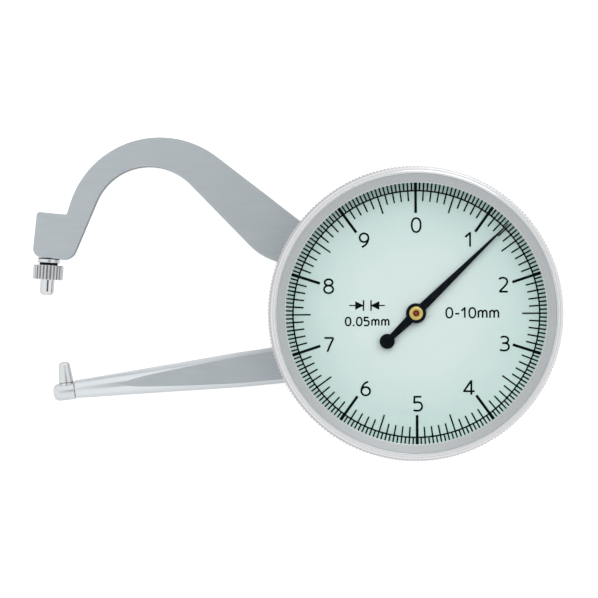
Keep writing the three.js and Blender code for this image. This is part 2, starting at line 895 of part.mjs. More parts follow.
function movingArmGeometry() {
  const bar = turned([
    [0, 0],
    [movingArmTipRadius, 0],
    [movingArmTaperRadius, movingArmTaperLength],
    [movingArmRootRadius, movingArmRootLength - movingArmPlainLength],
    [movingArmRootRadius, movingArmRootLength],
    [0, movingArmRootLength],
  ]);
  const socket = rod(
    holderSpigotRadius + socketClearance,
    -holderSpigotLength - socketClearance,
    overrun,
  ).applyMatrix4(holderFrame.matrixWorld);
  const slab = new THREE.BoxGeometry(
    2 * (movingArmRootRadius + overrun),
    movingArmThickness,
    2 * (movingArmRootLength + overrun),
  );
  const shank = cut(common(bar, slab).applyMatrix4(armFrame.matrixWorld), socket);
  const crankBottom = armLevel - crankThickness / 2;
  const crankTop = armLevel + crankThickness / 2;
  const hubTop = hubBottom + hubHeight;
  const body = joined(
    shank,
    extruded(
      strap(crankStart, crankRadius, crankBend, crankRadius),
      crankBottom,
      crankTop,
    ),
    extruded(strap(crankBend, crankRadius, pivot, crankRadius), crankBottom, crankTop),
    rod(hubRadius, hubBottom, hubTop, pivot),
    rod(collarRadius, hubBottom, hubTop + collarHeight, pivot),
  );
  const bore = rod(
    pivotPinRadius + runningClearance,
    hubBottom - overrun,
    hubTop + collarHeight + overrun,
    pivot,
  );
  const threads = sectorScrewPlaces().map((place) =>
    rod(
      sectorScrew.shank + runningClearance,
      hubTop + sectorThickness - sectorScrew.length - screwSink,
      hubTop + overrun,
      place,
    ),
  );
  return cut(body, bore, ...threads);
}

const sectorScrewPlaces = () =>
  sectorScrewAngles.map((angle) => moved(pivot, angle, hubRadius - sectorScrewInset));

add("moving_arm", satinSteel, movingArmGeometry());
add(
  "lever_pivot_pin",
  groundSteel,
  turned(
    [
      [0, ledgeTop],
      [pivotPinRadius, ledgeTop],
      [pivotPinRadius, bridgeBottom - pivotWasherGap],
      [pivotPinTopRadius, bridgeBottom - pivotWasherGap],
      [pivotPinTopRadius, bridgeTop],
      [0, bridgeTop],
    ],
    pivot,
  ),
);

// Contact holder and pin, in frames along the arm and square to it
const pinFrame = frameAlong(pinSeat, pinHeading);
model.add(holderFrame, pinFrame);

function holderGeometry() {
  const barrel = turned([
    [0, -holderSpigotLength],
    [holderSpigotRadius, -holderSpigotLength],
    [holderSpigotRadius, 0],
    [holderRadius, 0],
    ...roundEnd(holderRadius, holderLength, holderDome),
  ]);
  const toHolder = holderFrame.matrixWorld.clone().invert();
  const flatCut = rod(
    2 * holderRadius,
    0,
    holderRadius,
  ).applyMatrix4(pinFrame.matrixWorld);
  const socket = rod(
    contactSpigotRadius + socketClearance,
    -contactSpigotLength - runningClearance,
    overrun,
  ).applyMatrix4(pinFrame.matrixWorld);
  return cut(
    barrel,
    flatCut.applyMatrix4(toHolder),
    socket.applyMatrix4(toHolder),
  );
}

add("contact_holder", brightSteel, holderGeometry(), holderFrame);
add(
  "contact_pin",
  brightSteel,
  turned([
    [0, -contactSpigotLength],
    [contactSpigotRadius, -contactSpigotLength],
    [contactSpigotRadius, seatClearance],
    [contactPinBaseRadius, seatClearance],
    ...roundEnd(contactPinTipRadius, contactPinHeight, contactPinRounding),
  ]),
  pinFrame,
);

// The points of teeth along a rim: a negative addendum makes them point inwards, as on the sector
function teeth(centre, radius, module, count, first, from, to) {
  const inwards = from === undefined ? 1 : -1;
  const pitch = fullTurn / count;
  const tip = radius + inwards * module * addendumShare;
  const root = radius - inwards * module * dedendumShare;
  const start = from ?? 0;
  const end = to ?? count;
  return Array.from({ length: end - start }, (_, i) => {
    const middle = first + (start + i) * pitch;
    const halfRoot = (pitch * toothRootShare) / 2;
    const halfTip = (pitch * toothTipShare) / 2;
    return [
      moved(centre, middle - halfRoot, root),
      moved(centre, middle - halfTip, tip),
      moved(centre, middle + halfTip, tip),
      moved(centre, middle + halfRoot, root),
    ];
  }).flat();
}

// The sector: a hub, two arms and a rim with teeth on its inside, round a window for the intermediate arbor
const meshAngle = bearing(pivot, intermediateCentre);
const sectorPitch = fullTurn / sectorTeeth;

function sectorGeometry() {
  const windowFrom = meshAngle - sectorMarginAngle;
  const windowTo = meshAngle + swing + sectorMarginAngle;
  const firstTooth = Math.ceil((windowFrom - meshAngle) / sectorPitch);
  const lastTooth = Math.floor((windowTo - meshAngle) / sectorPitch);
  const rim = teeth(
    pivot,
    sectorRadius,
    sectorModule,
    sectorTeeth,
    meshAngle + sectorPitch / 2,
    firstTooth,
    lastTooth,
  );
  const rimRoot = sectorRadius + sectorModule * dedendumShare;
  const outerRadius = rimRoot + rimWidth;
  const window = [
    ...arc(pivot, hubRadius + sectorWindowGap, windowTo, windowFrom),
    moved(pivot, windowFrom, rimRoot),
    ...rim,
    moved(pivot, windowTo, rimRoot),
  ];
  const blade = extruded(
    [
      pivot,
      ...arc(
        pivot,
        outerRadius,
        windowFrom - sectorSideAngle,
        windowTo + sectorSideAngle,
      ),
    ],
    sectorBottom,
    sectorTop,
    [window],
  );
  const hub = rod(hubRadius, sectorBottom, sectorTop, pivot);
  const holes = [
    rod(
      collarRadius + runningClearance,
      sectorBottom - overrun,
      sectorTop + overrun,
      pivot,
    ),
    ...sectorScrewPlaces().map((place) =>
      rod(
        sectorScrew.shank + runningClearance,
        sectorBottom - overrun,
        sectorTop + overrun,
        place,
      ),
    ),
  ];
  return cut(joined(blade, hub), ...holes);
}

function gearGeometry(centre, module, count, first, bottom, top) {
  const radius = (count * module) / 2;
  return extruded(teeth(centre, radius, module, count, first), bottom, top, [
    circle(centre, arborRadius + seatClearance),
  ]);
}

const arborAngle = bearing(intermediateCentre, dialCentre);

add("sector_gear", brass, sectorGeometry());
sectorScrewPlaces().forEach((place, i) => {
  const name = `sector_screw_${i + 1}`;
  addScrew(name, sectorScrew, place, sectorTop, sectorScrewAngles[i]);
});
add(
  "intermediate_arbor",
  groundSteel,
  rod(arborRadius, ledgeTop, bridgeTop, intermediateCentre),
);
add(
  "intermediate_pinion",
  groundSteel,
  gearGeometry(
    intermediateCentre,
    sectorModule,
    pinionTeeth,
    meshAngle,
    pinionBottom,
    pinionBottom + pinionHeight,
  ),
);
add(
  "intermediate_wheel",
  brass,
  gearGeometry(
    intermediateCentre,
    wheelModule,
    wheelTeeth,
    arborAngle,
    wheelBottom,
    wheelBottom + wheelThickness,
  ),
);
add(
  "centre_pinion",
  groundSteel,
  gearGeometry(
    dialCentre,
    wheelModule,
    pinionTeeth,
    arborAngle + halfTurn + halfTurn / pinionTeeth,
    centrePinionBottom,
    centrePinionTop,
  ),
);

// Centre arbor and the bushes of both arbors
const pointerBottom = dialTop + pointerRise;
const pointerBossTop = pointerBottom + pointerBossHeight;
add(
  "centre_arbor",
  groundSteel,
  rod(arborRadius, ledgeTop, pointerBossTop - pointerBossSink),
);
const bushNames = { centre: dialCentre, intermediate: intermediateCentre };
const bushBore = arborRadius + bushBoreClearance;
for (const [name, centre] of Object.entries(bushNames)) {
  add(
    `${name}_lower_bush`,
    brass,
    tube(bushBore, bushRadius, ledgeTop, mainPlateTop + bushRim, centre),
  );
  add(
    `${name}_upper_bush`,
    brass,
    tube(bushBore, bushRadius, bridgeBottom - bushRim, bridgeTop + bushRim, centre),
  );
}

// Pins that stand in the main plate
add(
  "open_stop_pin",
  groundSteel,
  rod(stopPinRadius, ledgeTop, mainPlateTop + stopPinHeight, stopPinPlace),
);
add(
  "return_spring_post",
  groundSteel,
  rod(returnPostRadius, ledgeTop, bridgeBottom - runningClearance, returnPostPlace),
);
add(
  "hairspring_stud",
  brass,
  rod(
    hairspringStudRadius,
    ledgeTop,
    mainPlateTop + hairspringStudHeight,
    hairspringStudPlace,
  ),
);

// Hairspring: a flat spiral strip from its collet to its stud
const hairspringBottom = mainPlateTop + hairspringRise;

function hairspringGeometry() {
  const turnsAngle = hairspringTurns * fullTurn;
  const steps = hairspringTurns * sides(hairspringInnerRadius);
  const side = (offset) =>
    Array.from({ length: steps + 1 }, (_, i) => {
      const share = i / steps;
      const radius = THREE.MathUtils.lerp(
        hairspringInnerRadius,
        hairspringOuterRadius,
        share,
      );
      const angle = hairspringEndAngle - turnsAngle * (1 - share);
      return moved(dialCentre, angle, radius + offset);
    });
  const strip = hairspringStrip / 2;
  return extruded(
    [...side(strip), ...side(-strip).reverse()],
    hairspringBottom,
    hairspringBottom + hairspringHeight,
  );
}

add("hairspring", springSteel, hairspringGeometry());
add(
  "hairspring_collet",
  brass,
  tube(
    arborRadius + seatClearance,
    colletRadius,
    hairspringBottom - (colletHeight - hairspringHeight) / 2,
    hairspringBottom + (colletHeight + hairspringHeight) / 2,
  ),
);

// Return spring: a wire coil round the hub's collar, with a leg out along its post
class ReturnCoil extends THREE.Curve {
  constructor(bottom) {
    super();
    this.bottom = bottom;
    this.coilLength = 2 * Math.PI * returnCoilRadius * returnCoilTurns;
    this.legLength = returnPostAlong + returnLegOverhang;
    this.coilShare = this.coilLength / (this.coilLength + this.legLength);
  }

  getPoint(t) {
    const wound = Math.min(t, this.coilShare) / this.coilShare;
    const angle = returnLegAngle - returnCoilTurns * fullTurn * (1 - wound);
    const out = Math.max(0, t - this.coilShare) / (1 - this.coilShare);
    const place = moved(
      moved(pivot, angle, returnCoilRadius),
      returnLegAngle + quarterTurn,
      out * this.legLength,
    );
    const height = this.bottom + wound * returnCoilTurns * returnCoilPitch;
    return new THREE.Vector3(place.x, place.y, height);
  }
}

function returnSpringGeometry() {
  const bottom = sectorTop + runningClearance + returnWireRadius;
  const path = new ReturnCoil(bottom);
  const section = new THREE.Shape(circle(dialCentre, returnWireRadius));
  const steps = Math.ceil((sides(returnCoilRadius) * returnCoilTurns) / path.coilShare);
  return new THREE.ExtrudeGeometry(section, {
    extrudePath: path,
    steps,
    bevelEnabled: false,
  });
}

add("return_spring", springSteel, returnSpringGeometry());

// Bezel: knurled band, step, rounded bead, matt cone, and bores for the crystal and the two rings
function bezelGeometry() {
  const knurlTop = bezelBottom + knurlHeight;
  const beadRadius = bezelRadius - bezelStep;
  const beadCentre = at(beadRadius - beadRounding, bezelTop - beadRounding);
  const bead = arc(beadCentre, beadRounding, 0, halfTurn * beadArcShare);
  const snapGrooveTop = snapGrooveBottom + snapGrooveHeight;
  const snapGrooveRadius = bezelBore + snapGrooveDepth;
  const dialGrooveRadius = bezelBore + snapGrooveDepth;
  return turned([
    [bezelBore, bezelBottom],
    [bezelRadius - bezelChamfer, bezelBottom],
    [bezelRadius, bezelBottom + bezelChamfer],
    [bezelRadius, knurlTop - bezelChamfer],
    [bezelRadius - bezelChamfer, knurlTop],
    [beadRadius, knurlTop],
    ...bead.map(({ x, y }) => [x, y]),
    [coneOuterRadius, bezelTop - coneDrop],
    [lipRadius, lipBottom + lipThickness],
    [lipRadius, lipBottom],
    [bezelBore, lipBottom],
    [bezelBore, dialBottom],
    [dialGrooveRadius, dialBottom],
    [dialGrooveRadius, dialRingBottom],
    [bezelBore, dialRingBottom],
    [bezelBore, snapGrooveTop],
    [snapGrooveRadius, snapGrooveTop],
    [snapGrooveRadius, snapGrooveBottom],
    [bezelBore, snapGrooveBottom],
    [bezelBore, bezelBottom],
  ]);
}

// A flat split ring, open at one side so that it can be sprung into its groove
function splitRing(inner, outer, bottom, top, gap) {
  const from = quarterTurn + gap / 2;
  return extruded(
    ringPart(inner, outer, from, from + fullTurn - gap),
    bottom,
    top,
  );
}

const snapRingBottom = snapGrooveBottom + (snapGrooveHeight - snapRingThickness) / 2;
add("bezel", bezelMetal, bezelGeometry());
add(
  "bezel_snap_ring",
  springSteel,
  splitRing(
    caseRadius - snapGrooveDepth + runningClearance,
    bezelBore + snapGrooveDepth - runningClearance,
    snapRingBottom,
    snapRingBottom + snapRingThickness,
    snapRingGapAngle,
  ),
);
add("crystal", clearAcrylic, rod(dialRadius, crystalBottom, lipBottom));
add(
  "crystal_gasket",
  paleGasket,
  tube(dialRadius - gasketThickness, dialRadius, dialTop, crystalBottom),
);
add("dial_plate", dialPaint, tube(dialHoleRadius, dialRadius, dialBottom, dialTop));
add(
  "dial_retaining_ring",
  springSteel,
  splitRing(
    bezelBore + snapGrooveDepth - runningClearance - dialRingWidth,
    bezelBore + snapGrooveDepth - runningClearance,
    dialRingBottom,
    dialBottom,
    dialRingGapAngle,
  ),
);

// Pointer: blade, tail and ball in one sheet with its hub, and a brass boss pressed on the arbor
function pointerGeometry() {
  const ahead = quarterTurn - pointerAngle;
  const behind = ahead + halfTurn;
  const bladeBottom = pointerBottom + (pointerHubHeight - pointerThickness) / 2;
  const bladeTop = bladeBottom + pointerThickness;
  const tip = moved(dialCentre, ahead, pointerLength);
  const ball = moved(dialCentre, behind, pointerTailLength);
  const blade = strap(dialCentre, pointerBaseWidth / 2, tip, pointerTipWidth / 2);
  const tail = strap(
    dialCentre,
    pointerTailRootWidth / 2,
    ball,
    pointerTailEndWidth / 2,
  );
  const body = joined(
    extruded(blade, bladeBottom, bladeTop),
    extruded(tail, bladeBottom, bladeTop),
    rod(pointerBallRadius, bladeBottom, bladeTop, ball),
    rod(pointerHubRadius, pointerBottom, pointerBottom + pointerHubHeight),
  );
  const bore = rod(
    pointerBossRadius + seatClearance,
    pointerBottom - overrun,
    pointerBossTop,
  );
  return cut(body, bore);
}

add("pointer", blackPaint, pointerGeometry());
add(
  "pointer_boss",
  brass,
  tube(arborRadius + seatClearance, pointerBossRadius, pointerBottom, pointerBossTop),
);

export default model;
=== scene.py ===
"""Looks of the dial caliper gauge: fine meshes, printed dial, procedural materials, light and camera.

Lengths in this file are millimetres and angles degrees; a mesh is scaled to metres when it is made.
The frame is the CAD's: the origin on the dial's axis at the back, +Z out of the dial, +Y to its top.
"""

import math

import bmesh
import bpy
from mathutils import Matrix, Vector


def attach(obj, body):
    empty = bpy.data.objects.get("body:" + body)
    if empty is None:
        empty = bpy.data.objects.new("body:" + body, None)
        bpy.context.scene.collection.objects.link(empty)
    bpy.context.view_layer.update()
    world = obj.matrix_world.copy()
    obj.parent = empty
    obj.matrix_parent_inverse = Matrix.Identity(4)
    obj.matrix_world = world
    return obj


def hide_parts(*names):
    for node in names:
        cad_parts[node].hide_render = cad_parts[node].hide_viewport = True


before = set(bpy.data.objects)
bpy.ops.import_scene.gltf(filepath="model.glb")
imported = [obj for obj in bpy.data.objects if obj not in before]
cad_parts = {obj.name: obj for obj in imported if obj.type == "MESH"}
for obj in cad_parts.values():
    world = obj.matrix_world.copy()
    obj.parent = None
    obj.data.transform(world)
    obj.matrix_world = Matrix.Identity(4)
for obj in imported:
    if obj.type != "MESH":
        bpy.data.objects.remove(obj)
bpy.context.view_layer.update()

MM = 0.001
UP = Vector((0, 0, 1))
ON_AXIS = 1e-9
WHITE = (1, 1, 1, 1)

# Levels along the dial's axis
COVER_TOP = 1.2
LEDGE_TOP = 2.4
PLATE_TOP = 3.4
ARM_TOP = 6.6
ARM_LEVEL = 5.0
HUB_BOTTOM = 3.7
HUB_TOP = 7.1
CASE_TOP = 10.2
BEZEL_BOTTOM = 7.4
SNAP_BOTTOM = 8.7
SNAP_TOP = 9.3
RETAINER_BOTTOM = 10.85
KNURL_TOP = 11.8
BEZEL_TOP = 15.6
LIP_TOP = 14.55
LIP_BOTTOM = 14.25
CRYSTAL_BOTTOM = 13.25
DIAL_TOP = 11.55
DIAL_BOTTOM = 11.15
POINTER_BOTTOM = 11.95
BLADE_BOTTOM = 12.175
BLADE_TOP = 12.425
HUB_DISC_TOP = 12.65
BOSS_TOP = 12.95
ARBOR_TOP = 12.75

# Radii about the dial's axis
COVER_RADIUS = 21.3
CASE_RADIUS = 21.58
CASE_BORE = 19.9
LEDGE_BORE = 16.5
SCREW_CIRCLE = 18.2
BEZEL_BORE = 21.9
BEZEL_GROOVE = 22.4
BEZEL_RADIUS = 23.99
BEAD_RADIUS = 23.45
RIDGE_RADIUS = 22.66
CONE_RADIUS = 22.48
LIP_RADIUS = 21.03
GASKET_BORE = 21.2
DIAL_RADIUS = 21.8

# Places in the plane of the dial
DIAL_CENTRE = Vector((0, 0))
PIVOT = Vector((1.00043, 13.39918))
FOOT_SEAT = Vector((-59.915, 9.002))
ARM_END = Vector((-55.59593, -12.49223))
HOLDER_END = Vector((-55.67522, -12.67282))
PIN_SEAT = Vector((-57.04785, -11.62712))
CRANK_START = Vector((-24.31492, -8.78434))
CRANK_BEND = Vector((-12.4995, -7.38381))
ANVIL_HEADING = -93.62462
ARM_HEADING = 6.76
POINTER_HEADING = 44.2
COVER_SCREW_ANGLES = (15, 105, 195, 285)
PLATE_SCREW_ANGLES = (60, 330, 255)

# The bores for the cover's and the plate's screws, and the pockets that the cover's sit in
COVER_SCREW_BORE = 0.85
PLATE_SCREW_BORE = 0.8
SCREW_POCKET = 1.6
SCREW_SEAT = 0.85

# The range that most of a noise texture lies in
NOISE_LOW = 0.3
NOISE_HIGH = 0.7


# Points and outlines

def heading(degrees):
    angle = math.radians(degrees)
    return Vector((math.cos(angle), math.sin(angle)))


def moved(point, degrees, distance):
    return point + heading(degrees) * distance


def bearing(a, b):
    return math.degrees(math.atan2(b.y - a.y, b.x - a.x))


def arc(centre, radius, start, end, error=0.004, most=12):
    """Points along an arc, no further apart than the error and the widest step allow."""
    step = min(most, math.degrees(2 * math.acos(max(0.5, 1 - error / radius))))
    count = max(2, math.ceil(abs(end - start) / step))
    return [moved(centre, start + (end - start) * i / count, radius) for i in range(count + 1)]


def circle(centre, radius, count=64):
    return [moved(centre, 360 * i / count, radius) for i in range(count)]


def box(half_x, half_y):
    """The corners of a box about the origin, counter-clockwise."""
    return [Vector((x * half_x, y * half_y)) for x, y in ((-1, -1), (1, -1), (1, 1), (-1, 1))]


def rounded(corners, closed=True):
    """Points of an outline through corners (x, y, radius), each rounded off with its radius."""
    points = []
    count = len(corners)
    for i, corner in enumerate(corners):
        here = Vector(corner[:2])
        radius = corner[2] if len(corner) > 2 else 0
        if not radius or (not closed and i in (0, count - 1)):
            points.append(here)
            continue
        before = (Vector(corners[i - 1][:2]) - here).normalized()
        after = (Vector(corners[(i + 1) % count][:2]) - here).normalized()
        half = before.angle(after) / 2
        middle = here + (before + after).normalized() * (radius / math.sin(half))
        reach = radius / math.tan(half)
        start = bearing(middle, here + before * reach)
        end = bearing(middle, here + after * reach)
        turn = (end - start + 180) % 360 - 180
        points += arc(middle, radius, start, start + turn)
    return points


def inset(points, distance):
    """A closed, counter-clockwise outline moved inwards."""
    out = []
    count = len(points)
    for i, here in enumerate(points):
        a = (here - points[i - 1]).normalized()
        b = (points[(i + 1) % count] - here).normalized()
        normal = Vector((-a.y - b.y, a.x + b.x))
        normal.normalize()
        share = max(0.3, normal.dot(Vector((-a.y, a.x))))
        out.append(here + normal * (distance / share))
    return out


def strap(a, radius_a, b, radius_b):
    """The outline round two circles and the straight lines that touch both."""
    along = bearing(a, b)
    lean = math.degrees(math.acos((radius_a - radius_b) / (b - a).length))
    first = arc(a, radius_a, along + lean, along + 360 - lean)
    return first + arc(b, radius_b, along - lean, along + lean)


def ring_part(inner, outer, start, end):
    return arc(DIAL_CENTRE, outer, start, end) + arc(DIAL_CENTRE, inner, end, start)


def frame_along(origin, degrees):
    """A place whose +Z runs along a heading in the dial's plane, at the level of the arms."""
    ahead = heading(degrees).to_3d()
    side = UP.cross(ahead)
    place = Matrix((side, UP, ahead)).transposed().to_4x4()
    place.translation = (origin.x, origin.y, ARM_LEVEL)
    return place


# Meshes

def add_object(name, data):
    obj = bpy.data.objects.new(name, data)
    bpy.context.scene.collection.objects.link(obj)
    return obj


def make_object(name, verts, faces, place=None, indices=None):
    mesh = bpy.data.meshes.new(name)
    spots = [Vector(v) for v in verts]
    if place is not None:
        spots = [place @ v for v in spots]
    mesh.from_pydata([v * MM for v in spots], [], faces)
    if indices:
        mesh.polygons.foreach_set("material_index", indices)
    work = bmesh.new()
    work.from_mesh(mesh)
    bmesh.ops.recalc_face_normals(work, faces=work.faces)
    work.to_mesh(mesh)
    work.free()
    return add_object(name, mesh)


def shade(obj, sharp=30):
    """Smooth shading that keeps edges over the angle sharp and wide faces flat."""
    obj.data.polygons.foreach_set("use_smooth", [True] * len(obj.data.polygons))
    obj.data.set_sharp_from_angle(angle=math.radians(sharp))
    weights = obj.modifiers.new("weights", "WEIGHTED_NORMAL")
    weights.keep_sharp = True
    weights.weight = 100
    return obj


def turned(name, profile, sides=96, closed=False, place=None, shape=None, zones=None):
    """A body turned about Z from (radius, height) points; a closed profile makes a ring.

    shape(j, radius, height) may change a point on side j, and zones(i, j) gives the material of
    span i on side j.
    """
    verts = []
    rings = []
    for radius, height in profile:
        if radius < ON_AXIS:
            rings.append([len(verts)] * sides)
            verts.append((0, 0, height))
            continue
        rings.append(list(range(len(verts), len(verts) + sides)))
        for j in range(sides):
            r, z = shape(j, radius, height) if shape else (radius, height)
            verts.append((*(heading(360 * j / sides) * r), z))
    faces = []
    indices = []
    spans = len(profile) if closed else len(profile) - 1
    for i in range(spans):
        low, high = rings[i], rings[(i + 1) % len(rings)]
        for j in range(sides):
            k = (j + 1) % sides
            face = list(dict.fromkeys((low[j], low[k], high[k], high[j])))
            if len(face) > 2:
                faces.append(face)
                indices.append(zones(i, j) if zones else 0)
    return make_object(name, verts, faces, place, indices)


def prism(name, outline, bottom, top, bevel=0, place=None, steps=2):
    """An extruded outline, counter-clockwise, with its upper and lower edges rounded by the bevel."""
    levels = [(0, bottom), (0, top)]
    if bevel:
        turns = [math.pi / 2 * i / steps for i in range(steps + 1)]
        upper = [(bevel * (1 - math.cos(t)), top - bevel * (1 - math.sin(t))) for t in turns]
        lower = [(bevel * (1 - math.cos(t)), bottom + bevel * (1 - math.sin(t))) for t in turns]
        levels = lower[::-1] + upper
    verts = []
    for distance, height in levels:
        points = inset(outline, distance) if distance else outline
        verts += [(p.x, p.y, height) for p in points]
    count = len(outline)
    faces = [list(range(count))[::-1], [len(verts) - count + i for i in range(count)]]
    for level in range(len(levels) - 1):
        base = level * count
        for i in range(count):
            k = (i + 1) % count
            faces.append([base + i, base + k, base + count + k, base + count + i])
    return make_object(name, verts, faces, place)


def rod(radius, bottom, top, centre=DIAL_CENTRE, place=None, count=64):
    return prism("tool", circle(centre, radius, count), bottom, top, place=place)


def combine(obj, tools, operation="DIFFERENCE"):
    """Cuts the tools out of a piece, or joins or intersects it with them, and removes them."""
    for tool in tools:
        modifier = obj.modifiers.new("combine", "BOOLEAN")
        modifier.operation = operation
        modifier.solver = "EXACT"
        modifier.object = tool
    graph = bpy.context.evaluated_depsgraph_get()
    mesh = bpy.data.meshes.new_from_object(obj.evaluated_get(graph))
    obj.modifiers.clear()
    obj.data = mesh
    for tool in tools:
        bpy.data.objects.remove(tool)


# Materials

def new_material(name):
    material = bpy.data.materials.new(name)
    material.use_nodes = True
    tree = material.node_tree
    shader = tree.nodes["Principled BSDF"]
    return material, tree, shader


def set_values(shader, values):
    """Sets a node's own sockets to plain values."""
    for key, value in values.items():
        shader.inputs[key].default_value = value


def from_srgb(red, green, blue):
    def linear(value):
        share = value / 255
        return share / 12.92 if share <= 0.04045 else ((share + 0.055) / 1.055) ** 2.4
    return (linear(red), linear(green), linear(blue), 1)


def node(tree, kind, **settings):
    made = tree.nodes.new(kind)
    for key, value in settings.items():
        setattr(made, key, value)
    return made


def noise(tree, scale, detail=3, turn=0.0, place=(0, 0, 0)):
    """Noise in object space, with a scale for each axis in waves per millimetre."""
    coords = node(tree, "ShaderNodeTexCoord")
    mapping = node(tree, "ShaderNodeMapping", vector_type="TEXTURE")
    set_values(mapping, {
        "Location": place, "Rotation": (0, 0, math.radians(turn)), "Scale": [MM / s for s in scale],
    })
    texture = node(tree, "ShaderNodeTexNoise")
    set_values(texture, {"Scale": 1, "Detail": detail})
    tree.links.new(coords.outputs["Object"], mapping.inputs["Vector"])
    tree.links.new(mapping.outputs["Vector"], texture.inputs["Vector"])
    return texture.outputs["Fac"]


def ranged(tree, value, low, high, start=NOISE_LOW, end=NOISE_HIGH):
    """A value mapped from one range to another."""
    mapped = node(tree, "ShaderNodeMapRange")
    set_values(mapped, {"From Min": start, "From Max": end, "To Min": low, "To Max": high})
    tree.links.new(value, mapped.inputs["Value"])
    return mapped.outputs["Result"]


def tinted(tree, value, dark, light):
    """A colour between two, by a noise value."""
    ramp = node(tree, "ShaderNodeValToRGB")
    ramp.color_ramp.elements[0].position = NOISE_LOW
    ramp.color_ramp.elements[0].color = dark
    ramp.color_ramp.elements[1].position = NOISE_HIGH
    ramp.color_ramp.elements[1].color = light
    tree.links.new(value, ramp.inputs["Fac"])
    return ramp.outputs["Color"]


def scaled(color, factor):
    return (*[min(1, c * factor) for c in color[:3]], 1)


def bumped(tree, shader, height, strength, depth):
    bump = node(tree, "ShaderNodeBump")
    set_values(bump, {"Strength": strength, "Distance": depth * MM})
    tree.links.new(height, bump.inputs["Height"])
    tree.links.new(bump.outputs["Normal"], shader.inputs["Normal"])


def grained(tree, shader, fine, color, rough, tone, spread, bump, depth):
    """Lets a fine noise vary a shader's colour, gloss and relief."""
    base = from_srgb(*color)
    color_out = tinted(tree, fine, scaled(base, 1 - tone), scaled(base, 1 + tone))
    tree.links.new(color_out, shader.inputs["Base Color"])
    rough_out = ranged(tree, fine, rough - spread, rough + spread)
    tree.links.new(rough_out, shader.inputs["Roughness"])
    bumped(tree, shader, fine, bump, depth)


def surface(name, color, rough, metallic=1.0, grain=(2, 2, 2), turn=0.0, tone=0.04,
            spread=0.05, bump=0.15, depth=0.01, gloss=0.5):
    """A finish with an even grain, or one drawn out along an axis."""
    material, tree, shader = new_material(name)
    set_values(shader, {"Specular IOR Level": gloss, "Metallic": metallic})
    grained(tree, shader, noise(tree, grain, turn=turn), color, rough, tone, spread, bump, depth)
    return material


def rings_value(tree, waves):
    """Fine noise that runs in rings round the dial's axis, and the distance from that axis."""
    coords = node(tree, "ShaderNodeTexCoord")
    split = node(tree, "ShaderNodeSeparateXYZ")
    flat = node(tree, "ShaderNodeCombineXYZ")
    length = node(tree, "ShaderNodeVectorMath", operation="LENGTH")
    texture = node(tree, "ShaderNodeTexNoise", noise_dimensions="1D")
    set_values(texture, {"Scale": waves / MM, "Detail": 2})
    tree.links.new(coords.outputs["Object"], split.inputs["Vector"])
    tree.links.new(split.outputs["X"], flat.inputs["X"])
    tree.links.new(split.outputs["Y"], flat.inputs["Y"])
    tree.links.new(flat.outputs["Vector"], length.inputs[0])
    tree.links.new(length.outputs["Value"], texture.inputs["W"])
    return texture.outputs["Fac"], length.outputs["Value"]


def turned_metal(name, color, rough, waves=4.0, tone=0.05, spread=0.05, bump=0.2, depth=0.008):
    """Metal with the fine rings that a lathe leaves round the dial's axis."""
    material, tree, shader = new_material(name)
    set_values(shader, {"Metallic": 1.0})
    grained(tree, shader, rings_value(tree, waves)[0], color, rough, tone, spread, bump, depth)
    return material


plate_steel = surface("plate_steel", (200, 208, 212), 0.4, grain=(0.25, 2.6, 2),
                      tone=0.02, spread=0.015, bump=0.01, depth=0.001)
# Painted shade: the fixed arm's side faces, a rougher cut-edge finish made darker.
shaded_edge_steel = surface("shaded_edge_steel", (140, 145, 149), 0.42, grain=(1, 1, 7),
                     tone=0.08, bump=0.1, depth=0.004)
bar_steel = surface("bar_steel", (224, 229, 232), 0.32, grain=(0.2, 2, 2),
                    turn=ARM_HEADING, tone=0.015, spread=0.03, bump=0.015, depth=0.001)
polished = surface("polished_steel", (224, 225, 227), 0.14, grain=(6, 6, 6),
                   tone=0.02, spread=0.03, bump=0.04, depth=0.002)
satin_chrome = surface("satin_chrome", (220, 223, 225), 0.31, grain=(5, 5, 5),
                       tone=0.03, spread=0.03, bump=0.05, depth=0.003)
# Painted shade: a dark grey for the groove at the contact pin's foot.
groove_shade_steel = surface("groove_shade_steel", (128, 130, 133), 0.4, grain=(6, 6, 6),
                       tone=0.12, spread=0.08, bump=0.15, depth=0.01)
# Painted shade: a darker grey for the grooves of the anvil's knurled head.
knurl_groove_shade_steel = surface("knurl_groove_shade_steel", (176, 178, 180), 0.4, grain=(6, 6, 6),
                      tone=0.12, spread=0.08, bump=0.15, depth=0.01)
knurled_chrome = surface("knurled_chrome", (198, 197, 199), 0.24, grain=(5, 5, 5),
                         tone=0.03, spread=0.04, bump=0.08, depth=0.004)
ground = surface("ground_steel", (205, 208, 211), 0.28, grain=(8, 8, 1),
                 tone=0.03, bump=0.1, depth=0.004)
spring = surface("spring_steel", (143, 154, 166), 0.3, grain=(7, 7, 7),
                 tone=0.05, bump=0.08, depth=0.004)
case_chrome = turned_metal("case_chrome", (196, 200, 203), 0.34)
cover_chrome = turned_metal("cover_chrome", (196, 200, 203), 0.32, waves=2.4,
                            tone=0.06, bump=0.35, depth=0.02)
bead_chrome = surface("bead_chrome", (225, 226, 228), 0.2, grain=(3, 3, 3),
                      tone=0.02, spread=0.04, bump=0.05, depth=0.004)
cone_chrome = surface("cone_chrome", (186, 190, 192), 0.5, grain=(4, 4, 4),
                      tone=0.08, spread=0.08, bump=0.35, depth=0.015)
plate_brass = turned_metal("plate_brass", (202, 166, 92), 0.34, waves=3)
bright_brass = turned_metal("bright_brass", (254, 222, 128), 0.42, waves=5,
                            tone=0.06, bump=0.15, depth=0.006)
